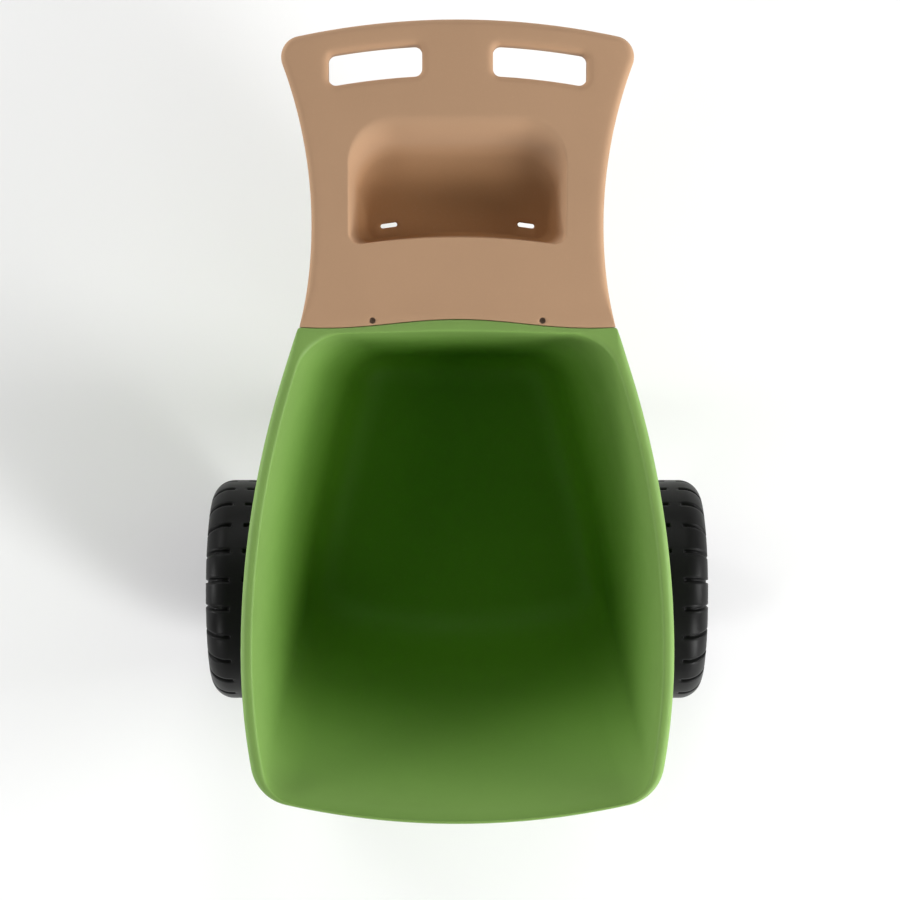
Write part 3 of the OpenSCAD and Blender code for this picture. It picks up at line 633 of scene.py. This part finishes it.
def build_tub():
    rim_out, rim_in = tub_outline(RIM_OUT, 1.0), tub_outline(RIM_IN, SEAM_SHARE_IN)
    wall_top = towards(rim_in, rim_out, TUB_WALL, 0.5)

    # the rolled edges grow with the rim's width, and the outer one is tight along the seam
    width = np.linalg.norm(rim_out - rim_in, axis=1)
    inner_roll = np.minimum(RIM_IN_ROLL, 3.0 + width * 0.2)
    roll = np.minimum(RIM_ROLL, 4.0 + width * 0.45)
    roll *= lerp(0.25, 1.0, smooth((Y_SEAM - 2 - rim_out[:, 1]) / 40))

    stack = wall_rings(FLOOR, rim_in, Z_FLOOR, Z_RIM - WALL_END)
    stack[-1][:, 2] = Z_RIM - inner_roll
    stack += rim_rings(rim_in, rim_out, wall_top, inner_roll, roll)
    outside = wall_rings(grown(FLOOR, TUB_WALL * 0.8), wall_top,
                         Z_FLOOR - TUB_WALL, Z_RIM - WALL_ROOT)
    stack += outside[::-1]

    shell = Shell()
    first, last = shell.rings(stack)
    shell.grid_cap(first, 6)
    shell.grid_cap(last, 6, flip=True)
    add_shelf(shell)
    add_pads(shell)
    piece = add_mesh("tub_moulding", shell.points, shell.faces, GREEN, "cart", soft_angle=50)
    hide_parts("tub")


# ---------------------------------------------------------------- handle panel

def panel_top(y):
    """Height of the panel's top: nearly level at the seam, then bending softly into its slope."""
    u = np.asarray(y, float) - RISE_FROM
    return Z_RIM + SLOPE * (u + np.sqrt(u * u + RISE_SOFT ** 2)) / 2


def top_at(plan):
    """Height of the panel's top, which rolls down a little along the seam."""
    above = plan[:, 1] - Y_SEAM - SEAM_GAP - seam_curve(plan[:, 0])
    t = np.clip(1 - above / SEAM_ROLL, 0.0, 1.0)
    return panel_top(plan[:, 1]) - SEAM_DIP * (1 - np.sqrt(1 - 0.9 * t * t))


def panel_under(y):
    """Height of the panel's underside: a thin tongue over the tub's shelf, full depth beyond."""
    return panel_top(y) - np.where(y < Y_SEAM + TONGUE_LEN, TONGUE_T, PANEL_T)


def slope_at(y):
    """Height of the plane that the slope lies in, which the tray is measured from."""
    return Z_RIM + SLOPE * (y - RISE_FROM)


def panel_outline(g=0.0, side_n=60, corner_n=14, end_n=40, seam_n=40):
    """Panel outline grown by g, clockwise from the middle of the far edge."""
    side_mid = np.array([WAIST_HW + WAIST_R, Y_WAIST])
    side_r = WAIST_R - g
    end_mid = np.array([0.0, Y_END - END_R])
    corner_r = END_CORNER_R + g
    corner = circles_meet(side_mid, side_r + corner_r, end_mid, END_R + g - corner_r)
    turn_a = turn_to(side_mid, corner) - math.pi
    if turn_a < -math.pi:
        turn_a += 2 * math.pi
    turn_b = turn_to(end_mid, corner)
    seam_x = side_mid[0] - math.sqrt(side_r ** 2 - (Y_SEAM + SEAM_GAP - Y_WAIST) ** 2)
    side_low = Y_SEAM + SEAM_GAP + float(seam_curve(seam_x))
    side_high = corner[1] + corner_r * math.sin(turn_a)
    ys = np.linspace(side_high, side_low, side_n + 1)[1:]
    side = np.column_stack([side_mid[0] - np.sqrt(side_r ** 2 - (ys - Y_WAIST) ** 2), ys])
    xs = seam_x * (1 - np.linspace(0, 1, seam_n + 1)[1:])
    seam = np.column_stack([xs, Y_SEAM + SEAM_GAP + seam_curve(xs)])
    half = np.vstack([
        arc(end_mid, END_R + g, math.pi / 2, turn_b, end_n, last=False),
        arc(corner, corner_r, turn_b, turn_a, corner_n),
        side, seam,
    ])
    half[0, 0] = half[-1, 0] = 0.0
    return mirrored(half)


def slot_outline(side, g=0.0, n=20, corner_n=6):
    """One hand slot grown by g."""
    mid = np.array([0.0, Y_END - END_R])
    r_out, r_in, r = END_R - GRIP_BAR + g, END_R - GRIP_BAR - SLOT_H - g, SLOT_R + g

    def spot(radius, a):
        return mid + radius * np.array([math.sin(a), math.cos(a)])

    def turn(radius, a, start):
        c = spot(radius, a)
        angles = [a + start + math.pi / 2 * i / corner_n for i in range(corner_n + 1)]
        return [c + r * np.array([math.sin(b), math.cos(b)]) for b in angles]

    ends = (SLOT_IN - g + r, SLOT_OUT + g - r)
    a_in, a_out = (math.asin(v / (r_out - r)) for v in ends)
    b_in, b_out = (math.asin(v / (r_in + r)) for v in ends)
    pts = turn(r_out - r, a_in, -math.pi / 2)
    pts += [spot(r_out, lerp(a_in, a_out, i / n)) for i in range(1, n)]
    pts += turn(r_out - r, a_out, 0.0)
    pts += turn(r_in + r, b_out, math.pi / 2)
    pts += [spot(r_in, lerp(b_out, b_in, i / n)) for i in range(1, n)]
    pts += turn(r_in + r, b_in, math.pi)
    pts = np.array(pts)
    if side < 0:
        pts = pts[::-1] * [-1, 1]
    return pts


def tray_outline(share, g=0.0, edge_n=26, corner_n=14, side_n=18):
    """The tray at a share of its runs, grown by g, clockwise from the far middle."""
    lip_in = TRAY_LIP_IN * float(smooth((share - TRAY_AT_LIP) / 0.14))
    hw = TRAY_W / 2 - lip_in - max(share, 0) * TRAY_SIDE_RUN + g
    far = Y_SEAM + TRAY_BACK + TRAY_LEN - share * TRAY_FAR_RUN + g
    near = Y_SEAM + TRAY_BACK + share * TRAY_NEAR_RUN - g
    far_r, near_r = TRAY_FAR_R - share * TRAY_FAR_R_RUN + g, TRAY_NEAR_R + g
    ys = np.linspace(far - far_r, near + near_r, side_n + 1)[1:-1]
    half = np.vstack([
        np.column_stack([np.linspace(0, hw - far_r, edge_n + 1)[:-1], np.full(edge_n, far)]),
        arc((hw - far_r, far - far_r), far_r, math.pi / 2, 0, corner_n),
        np.column_stack([np.full(len(ys), hw), ys]),
        arc((hw - near_r, near + near_r), near_r, 0, -math.pi / 2, corner_n),
        np.column_stack([np.linspace(hw - near_r, 0, edge_n + 1)[1:], np.full(edge_n, near)]),
    ])
    half[0, 0] = half[-1, 0] = 0.0
    pts = mirrored(half)
    along = np.clip(1 - (pts[:, 1] - near) / (far - near), 0, 1)
    pts[:, 1] += TRAY_BOW * (1 - (pts[:, 0] / hw) ** 2) * along
    return pts


def capsule(mid, length, width, tilt, n=8):
    h, r = (length - width) / 2, width / 2
    quarter = math.pi / 2
    ends = [arc((h, 0), r, quarter, -quarter, n), arc((-h, 0), r, -quarter, -3 * quarter, n)]
    c, s = math.cos(tilt), math.sin(tilt)
    return np.vstack(ends) @ np.array([[c, s], [-s, c]]) + mid


def circle(mid, r, n=24):
    a = np.linspace(0, -2 * math.pi, n + 1)[:-1]
    return np.column_stack([mid[0] + r * np.cos(a), mid[1] + r * np.sin(a)])


def inside(poly, pts):
    """Which of pts lie inside a polygon."""
    x, y = pts[:, 0], pts[:, 1]
    hit = np.zeros(len(pts), bool)
    for (x0, y0), (x1, y1) in zip(poly, np.roll(poly, -1, axis=0)):
        if y0 == y1:
            continue
        cross = (y0 > y) != (y1 > y)
        hit ^= cross & (x < (x1 - x0) * (y - y0) / (y1 - y0) + x0)
    return hit


def sheet(rings, holes, outer, fill, up=True):
    """Triangles over nested rings and loose fill points, inside outer and free of the holes.

    Each ring, and the fill, is plan points with their heights. Returns points and triangles."""
    pts = np.vstack([r[0] for r in rings] + [fill[0]])
    zs = np.concatenate([r[1] for r in rings] + [fill[1]])
    edges, start = [], 0
    for plan, _ in rings:
        n = len(plan)
        edges += [(start + i, start + (i + 1) % n) for i in range(n)]
        start += n
    found = delaunay_2d_cdt([tuple(p) for p in pts], edges, [], 0, 1e-5, True)
    verts, _, tris, source, _, _ = found
    out = np.array([(v[0], v[1]) for v in verts])
    height = np.array([np.mean(zs[s]) if len(s) else np.nan for s in source])
    tris = np.array([t for t in tris if len(t) == 3])
    mids = out[tris].mean(axis=1)
    keep = inside(outer, mids)
    for hole in holes:
        keep &= ~inside(hole, mids)
    tris = tris[keep]
    tris = tris[~np.isnan(height[tris]).any(axis=1)]
    a, b, c = out[tris[:, 0]], out[tris[:, 1]], out[tris[:, 2]]
    turn = (b[:, 0] - a[:, 0]) * (c[:, 1] - a[:, 1]) - (b[:, 1] - a[:, 1]) * (c[:, 0] - a[:, 0])
    flip = (turn < 0) if up else (turn > 0)
    tris[flip] = tris[flip][:, ::-1]
    return np.column_stack([out, np.nan_to_num(height)]), tris


def fillet_drop(d, r):
    """How far a quarter-round edge of radius r has dropped at distance d from the face's edge."""
    d = np.clip(d, 0, r)
    return r - np.sqrt(np.maximum(0.0, r * r - (r - d) ** 2))


def slot_rings(side):
    """The rounded edges of a hand slot, on the panel's top and on its underside."""
    top, low = [], []
    for t in EDGE_STEPS:
        plan = slot_outline(side, t * SLOT_EDGE_R)
        top.append((plan, panel_top(plan[:, 1]) - fillet_drop(t * SLOT_EDGE_R, SLOT_EDGE_R)))
        plan = slot_outline(side, t * UNDER_EDGE_R)
        low.append((plan, panel_under(plan[:, 1]) + fillet_drop(t * UNDER_EDGE_R, UNDER_EDGE_R)))
    return top, low


def tray_rings():
    """The tray's soft lip, even wall and soft foot on top, and its skin as seen from below."""
    top, low = [], []
    level = 0.14
    for u in np.linspace(0, 1, 23):
        plan = tray_outline(lerp(TRAY_AT_LIP, TRAY_AT_FOOT, u))
        fall = float(smooth((u - level) / 1.0) / smooth(1 - level)) * TRAY_WALL_SHARE
        y = plan[:, 1]
        top.append((plan, lerp(panel_top(y), slope_at(y) - TRAY_DEPTH, fall)))
    for v in np.linspace(0, 1, 10)[1:]:
        plan = tray_outline(lerp(TRAY_AT_FOOT, TRAY_AT_FLOOR, v))
        fall = lerp(TRAY_WALL_SHARE, 1.0, 1 - (1 - v) ** 2)
        top.append((plan, slope_at(plan[:, 1]) - TRAY_DEPTH * fall))
    for share, depth in ((TRAY_AT_UNDER, PANEL_T), (0.62, PANEL_T + 1.5),
                         (0.75, TRAY_DEPTH * 0.86), (0.95, TRAY_DEPTH + SKIN - 1.5),
                         (1.03, TRAY_DEPTH + SKIN)):
        plan = tray_outline(share, SKIN)
        low.append((plan, slope_at(plan[:, 1]) - depth))
    return top, low


def drain_outline(side, more=0.0):
    """One drain slot, or the wider edge that is rounded over into it."""
    mid = (side * DRAIN_OFF, DRAIN_Y)
    return capsule(mid, DRAIN[0] + more, DRAIN[1] + more, -side * math.radians(DRAIN_TILT))


def fill_points(step, area, keep_out, height):
    """Evenly spread points with their heights, inside an area and outside some outlines."""
    gx, gy = np.meshgrid(np.arange(-FILL_HW, FILL_HW + 1, step), np.arange(Y_SEAM + 6, Y_END, step))
    gx = gx + (np.arange(gx.shape[0]) % 2)[:, None] * step / 2
    pts = np.column_stack([gx.ravel(), gy.ravel()])
    ok = inside(area, pts)
    for poly in keep_out:
        ok &= ~inside(poly, pts)
    return pts[ok], height(pts[ok])


def seam_points(screw_spots):
    """Rows of points along the seam, close enough together to round the top over there."""
    xs = np.linspace(-SEAM_ROW_HW, SEAM_ROW_HW, SEAM_ROW_N)
    line = Y_SEAM + SEAM_GAP + seam_curve(xs)
    rows = np.vstack([np.column_stack([xs, line + away]) for away in SEAM_ROWS])
    for mid in screw_spots:
        rows = rows[~inside(circle(mid, SCREW_ROW_CLEAR), rows)]
    return rows, top_at(rows)


def joined(*fills):
    return np.vstack([f[0] for f in fills]), np.concatenate([f[1] for f in fills])


def within(fill, outline, lower=0.0):
    """The part of some fill points that lies in an outline, lowered by a distance."""
    hit = inside(outline, fill[0])
    return fill[0][hit], fill[1][hit] - lower


def add_skirt(shell, plan, z_top, z_low, inward, n=4):
    """The upright wall between the panel's top and its underside."""
    stack = [raised(plan, lerp(z_top, z_low, k / n)) for k in range(n + 1)]
    shell.rings(stack[::-1] if inward else stack)


def build_panel():
    # the outer edge's rounding is full along the sides and nearly nothing along the seam
    edge0, edge1 = panel_outline(0.0), panel_outline(-TOP_EDGE_R)
    above = edge0[:, 1] - Y_SEAM - SEAM_GAP - seam_curve(edge0[:, 0])
    soft = np.clip(SEAM_SOFT + above / 60, SEAM_SOFT, 1.0)
    drop = np.maximum(soft, 0.1)
    lift = np.minimum(soft, 0.6)
    pull = (edge1 - edge0) * soft[:, None]
    pull[:, 1] += SEAM_SOFT * TOP_EDGE_R * np.clip(1 - above / 30, 0, 1)

    def edge_ring(share, radius):
        return edge0 + pull * (share * radius / TOP_EDGE_R)

    rings_top, rings_low = [], []
    for t in EDGE_STEPS:
        plan = edge_ring(t, TOP_EDGE_R)
        rings_top.append((plan, top_at(plan) - fillet_drop(t * TOP_EDGE_R, TOP_EDGE_R) * drop))
        plan = edge_ring(t, UNDER_EDGE_R)
        rise = fillet_drop(t * UNDER_EDGE_R, UNDER_EDGE_R) * lift
        rings_low.append((plan, panel_under(edge0[:, 1]) + rise))
    for top, low in (slot_rings(-1), slot_rings(1), tray_rings()):
        rings_top += top
        rings_low += low

    slots = [slot_outline(side) for side in (-1, 1)]
    drains = [drain_outline(side) for side in (-1, 1)]
    for side, hole in zip((-1, 1), drains):
        for plan, sunk in ((hole, DRAIN_EDGE_DROP), (drain_outline(side, DRAIN_EDGE), 0.0)):
            rings_top.append((plan, slope_at(plan[:, 1]) - TRAY_DEPTH - sunk))
        rings_low.append((hole, slope_at(hole[:, 1]) - TRAY_DEPTH - SKIN))

    screw_spots = [(side * SCREW_SPOT[0], SCREW_SPOT[1]) for side in (-1, 1)]
    screw_holes = [circle(mid, SCREW_HOLE_R) for mid in screw_spots]
    for mid, hole in zip(screw_spots, screw_holes):
        rim = circle(mid, SCREW_RIM_R)
        rings_top.append((hole, top_at(hole) - SCREW_EDGE))
        rings_top.append((rim, top_at(rim)))

    area = edge_ring(1.0, TOP_EDGE_R + CLEAR)
    blocked = [slot_outline(side, SLOT_EDGE_R + CLEAR) for side in (-1, 1)]
    blocked += [circle(mid, SCREW_CLEAR) for mid in screw_spots]
    blocked.append(tray_outline(TRAY_AT_LIP, CLEAR))
    top_fill = fill_points(TOP_STEP, area, blocked, top_at)
    blocked = [capsule((side * DRAIN_OFF, DRAIN_Y), *DRAIN_CLEAR, 0) for side in (-1, 1)]
    floor_fill = fill_points(TOP_STEP, area, blocked, lambda p: slope_at(p[:, 1]) - TRAY_DEPTH)
    blocked = [slot_outline(side, UNDER_EDGE_R + CLEAR) for side in (-1, 1)]
    blocked.append(tray_outline(TRAY_AT_UNDER, SKIN + CLEAR))
    low_fill = fill_points(UNDER_STEP, area, blocked, lambda p: panel_under(p[:, 1]))

    fill = joined(top_fill, seam_points(screw_spots),
                  within(floor_fill, tray_outline(TRAY_AT_FLOOR, -CLEAR)))
    low_fill = joined(low_fill, within(floor_fill, tray_outline(TRAY_AT_FOOT, -CLEAR), SKIN))

    shell = Shell()
    for pts, tris in (sheet(rings_top, slots + drains + screw_holes, edge0, fill),
                      sheet(rings_low, slots + drains, edge0, low_fill, up=False)):
        start = len(shell.points)
        shell.points.extend(pts.tolist())
        shell.faces.extend([tuple(int(i) + start for i in t) for t in tris])

    add_skirt(shell, edge0, top_at(edge0) - TOP_EDGE_R * drop,
              panel_under(edge0[:, 1]) + UNDER_EDGE_R * lift, False)
    for hole in slots:
        y = hole[:, 1]
        add_skirt(shell, hole, panel_top(y) - SLOT_EDGE_R, panel_under(y) + UNDER_EDGE_R, True)
    for hole in drains:
        floor_z = slope_at(hole[:, 1]) - TRAY_DEPTH
        add_skirt(shell, hole, floor_z - DRAIN_EDGE_DROP, floor_z - SKIN, True, 2)
    for hole in screw_holes:
        z = top_at(hole)
        depths = (SCREW_HOLE_DEPTH, SCREW_HOLE_DEPTH / 2, SCREW_EDGE)
        low, _ = shell.rings([raised(hole, z - depth) for depth in depths])
        shell.fan(low)

    piece = add_mesh("panel_moulding", shell.points, shell.faces, TAN, "cart")
    weld(piece, 55)
    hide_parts("handle_panel")


# ---------------------------------------------------------------- wheels

def wheel_profile():
    """Closed half-section of a wheel as (radius, distance outwards from the inner face)."""
    side_r, seat_r, half = SIDE_R, SEAT_R, WHEEL_W / 2

    # inner side: the boss, the disc, and the step up to the sidewall
    pts = [(BORE_R, 6), (24, 6), (36.5, 6), (38, 6.6), (39, 8)]
    pts += [(41, 20), (42.5, 21.6), (44.5, DISC_IN)]
    pts += [(r, DISC_IN) for r in np.linspace(52, seat_r - 12, 8)]
    pts += [(seat_r - 9, 21.6), (seat_r - 7.2, 20), (seat_r - 1, 7), (seat_r + 0.4, 5)]
    pts += [(seat_r + 2.5, 3.6), (seat_r + 6, 2.4), (lerp(seat_r + 6, side_r, 0.5), 0.8)]
    pts.append((side_r, 0.05))

    # the round shoulder, and the tread up to its middle
    for a in np.radians(np.linspace(4, 90, 13)):
        pts.append((side_r + SHOULDER_R * math.sin(a), SHOULDER_R * (1 - math.cos(a))))
    pts += [(WHEEL_R, t) for t in (half - 12, half - 10.5, half - 9, half - 4)]

    # outer side: the same mirrored, then a shallower disc and the hub's recess
    pts += [(r, WHEEL_W - t) for r, t in pts[::-1] if r > seat_r - 8]
    top = DISC_OUT
    pts += [(seat_r - 7.2, top + 2), (seat_r - 9, top + 0.4), (seat_r - 12, top)]
    pts += [(r, top) for r in np.linspace(seat_r - 16, 54, 17)]
    pts += [(51.5, top + 0.2), (50, top + 0.8), (47.5, WHEEL_W - 14.4), (46, WHEEL_W - 14)]
    pts += [(36, WHEEL_W - 14), (36, WHEEL_W - 31), (BORE_R, WHEEL_W - 31)]
    return np.array(pts, float)


def wheel_ring(r, out, groove, angles):
    """Radii and distances outwards of one ring of the section, cut by the tread's grooves."""
    half = WHEEL_W / 2
    off = abs(out - half)
    sidewall = off > half - SHOULDER_R
    across = smooth((off - PLAIN_BAND_HALF) / 2.5) if r > SIDE_R - GROOVE_RUN else 0.0
    cut = GROOVE_DEPTH * groove * across
    radius = r - cut * smooth((r - SIDE_R - 2) / 14) * (0.85 if sidewall else 1.0)
    depth = np.full(len(angles), out)
    if sidewall and r < WHEEL_R - 1:
        inward = math.cos(math.asin(min(1, max(0, (r - SIDE_R) / SHOULDER_R))))
        notch = cut * smooth((r - SIDE_R + GROOVE_RUN) / 6) * 0.52 * inward
        depth = out - np.sign(out - half) * notch
    if out == DISC_OUT:
        # shallow pockets between the spokes of the outer disc
        turn = (np.degrees(angles) / SPOKE_PITCH) % 1.0
        spoke = smooth((np.abs(turn - 0.5) - 0.10) / 0.06)
        band = smooth((r - 58) / 8) * smooth((110 - r) / 8)
        depth = depth - SPOKE_POCKET_DEPTH * (1 - spoke) * band
    return radius, depth


def build_wheel(side, name):
    angles = np.radians(np.concatenate([i * 360 / LUGS + LUG_PHASES for i in range(LUGS)]))
    groove = smooth((np.abs(np.tile(LUG_PHASES, LUGS)) - GROOVE_FROM) / 0.5)
    shell = Shell()
    ids = []
    for r, out in wheel_profile():
        radius, depth = wheel_ring(r, out, groove, angles)
        ids.append(shell.ring(np.column_stack([
            side * (WHEEL_IN + depth),
            AXLE_Y + radius * np.sin(angles), AXLE_Z + radius * np.cos(angles),
        ])))
    for a, b in zip(ids, ids[1:] + ids[:1]):
        shell.strip(a, b)
    piece = add_mesh(f"wheel_{name}_moulding", shell.points, shell.faces, TREAD, f"{name}_wheel")
    weld(piece, 60)
    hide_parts(f"wheel_{name}")


# ---------------------------------------------------------------- carried-over CAD pieces

def dress(nodes, material):
    for node in nodes:
        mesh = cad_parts[node].data
        if not mesh.materials:
            mesh.materials.append(material)
        for i in range(len(mesh.materials)):
            mesh.materials[i] = material


dress(["seam_screws"], BRONZE)
dress(["handle_bolts", "handle_bolt_washers", "bracket_screws", "inner_washers", "outer_washers",
       "cap_nuts", "leg_screws"], ZINC)
dress(["axle"], STEEL)
dress(["axle_bracket_left", "axle_bracket_right", "spacer_left", "spacer_right",
       "hub_cap_left", "hub_cap_right", "rear_leg_left", "rear_leg_right"], BLACK)
dress(["bushings_left", "bushings_right"], NYLON)
build_tub()
build_panel()
build_wheel(-1, "left")
build_wheel(1, "right")


# ---------------------------------------------------------------- floor, light and camera

STAGE_SIZE = 160.0
STAGE_PALE, STAGE_PALER = (0.86, 0.86, 0.86), (0.90, 0.90, 0.90)

# far out, where the lamps no longer reach, the floor glows to keep its pale tone (metres)
GLOW, GLOW_FROM, GLOW_FULL = 0.8, 3.6, 6.6


def build_floor():
    mat, nodes, links, bsdf = new_material("pale_floor")
    coords = nodes.new("ShaderNodeTexCoord").outputs["Object"]
    cloud = noise(nodes, links, coords, 1.3, 2.0)
    pale = mix_colour(nodes, links, cloud, STAGE_PALE, STAGE_PALER)
    links.new(pale, bsdf.inputs["Base Color"])
    bsdf.inputs["Roughness"].default_value = 0.9
    reach = nodes.new("ShaderNodeVectorMath")
    reach.operation = "LENGTH"
    links.new(coords, reach.inputs[0])
    glow = span(nodes, links, reach.outputs["Value"], 0.0, GLOW, GLOW_FROM, GLOW_FULL)
    bsdf.inputs["Emission Color"].default_value = (1.0, 1.0, 1.0, 1.0)
    links.new(glow, bsdf.inputs["Emission Strength"])
    bpy.ops.mesh.primitive_plane_add(size=STAGE_SIZE, location=(0, 0, 0))
    floor = bpy.context.object
    floor.name = "studio_floor"
    floor.data.materials.append(mat)


# soft round lamps about the cart, the high ones larger: azimuth, elevation (degrees) and watts
LIGHTS = ((0, 16, 88), (0, 22, 27), (0, 30, 25), (0, 65, 6),
          (45, 22, 8), (90, 22, 46), (90, 45, 22),
          (135, 16, 22), (135, 22, 41),
          (180, 10, 65), (180, 16, 13), (180, 45, 10), (180, 65, 3),
          (225, 22, 39), (225, 30, 17), (270, 45, 5),
          (315, 10, 72), (315, 16, 10), (315, 22, 51), (315, 30, 50))
HIGH_LIGHT_FROM = 40
LOW_LIGHT_SIZE, HIGH_LIGHT_SIZE = 1.3, 2.4
LIGHT_REACH = 4.5
LIGHT_AIM = Vector((0.0, 0.0, 0.4))
WORLD_STRENGTH = 0.015


def add_light(name, away, size, watts):
    data = bpy.data.lights.new(name, "AREA")
    data.shape = "DISK"
    data.size = size
    data.energy = watts
    lamp = bpy.data.objects.new(name, data)
    bpy.context.scene.collection.objects.link(lamp)
    lamp.location = LIGHT_AIM + away * LIGHT_REACH
    lamp.rotation_euler = (-away).to_track_quat("-Z", "Y").to_euler()


def build_studio():
    build_floor()
    for azimuth, elevation, watts in LIGHTS:
        a, e = math.radians(azimuth), math.radians(elevation)
        away = Vector((math.cos(a) * math.cos(e), math.sin(a) * math.cos(e), math.sin(e)))
        size = LOW_LIGHT_SIZE if elevation < HIGH_LIGHT_FROM else HIGH_LIGHT_SIZE
        add_light(f"light_{azimuth}_{elevation}", away, size, watts)
    world = bpy.data.worlds.new("studio_world")
    world.use_nodes = True
    background = world.node_tree.nodes["Background"]
    background.inputs["Color"].default_value = (1, 1, 1, 1)
    background.inputs["Strength"].default_value = WORLD_STRENGTH
    bpy.context.scene.world = world
    bpy.context.scene.view_settings.view_transform = "Standard"


# the camera looks straight down, from 4.43 m up
LENS_MM, SENSOR_MM = 104.0, 36.0
CAMERA_SPOT = (-0.0110, -0.0370, 4.430)
VIEW_END = 60.0


def build_camera():
    data = bpy.data.cameras.new("photo_camera")
    data.lens = LENS_MM
    data.sensor_width = SENSOR_MM
    data.clip_end = VIEW_END
    cam = bpy.data.objects.new("photo_camera", data)
    bpy.context.scene.collection.objects.link(cam)
    cam.location = CAMERA_SPOT
    bpy.context.scene.camera = cam


build_studio()
build_camera()
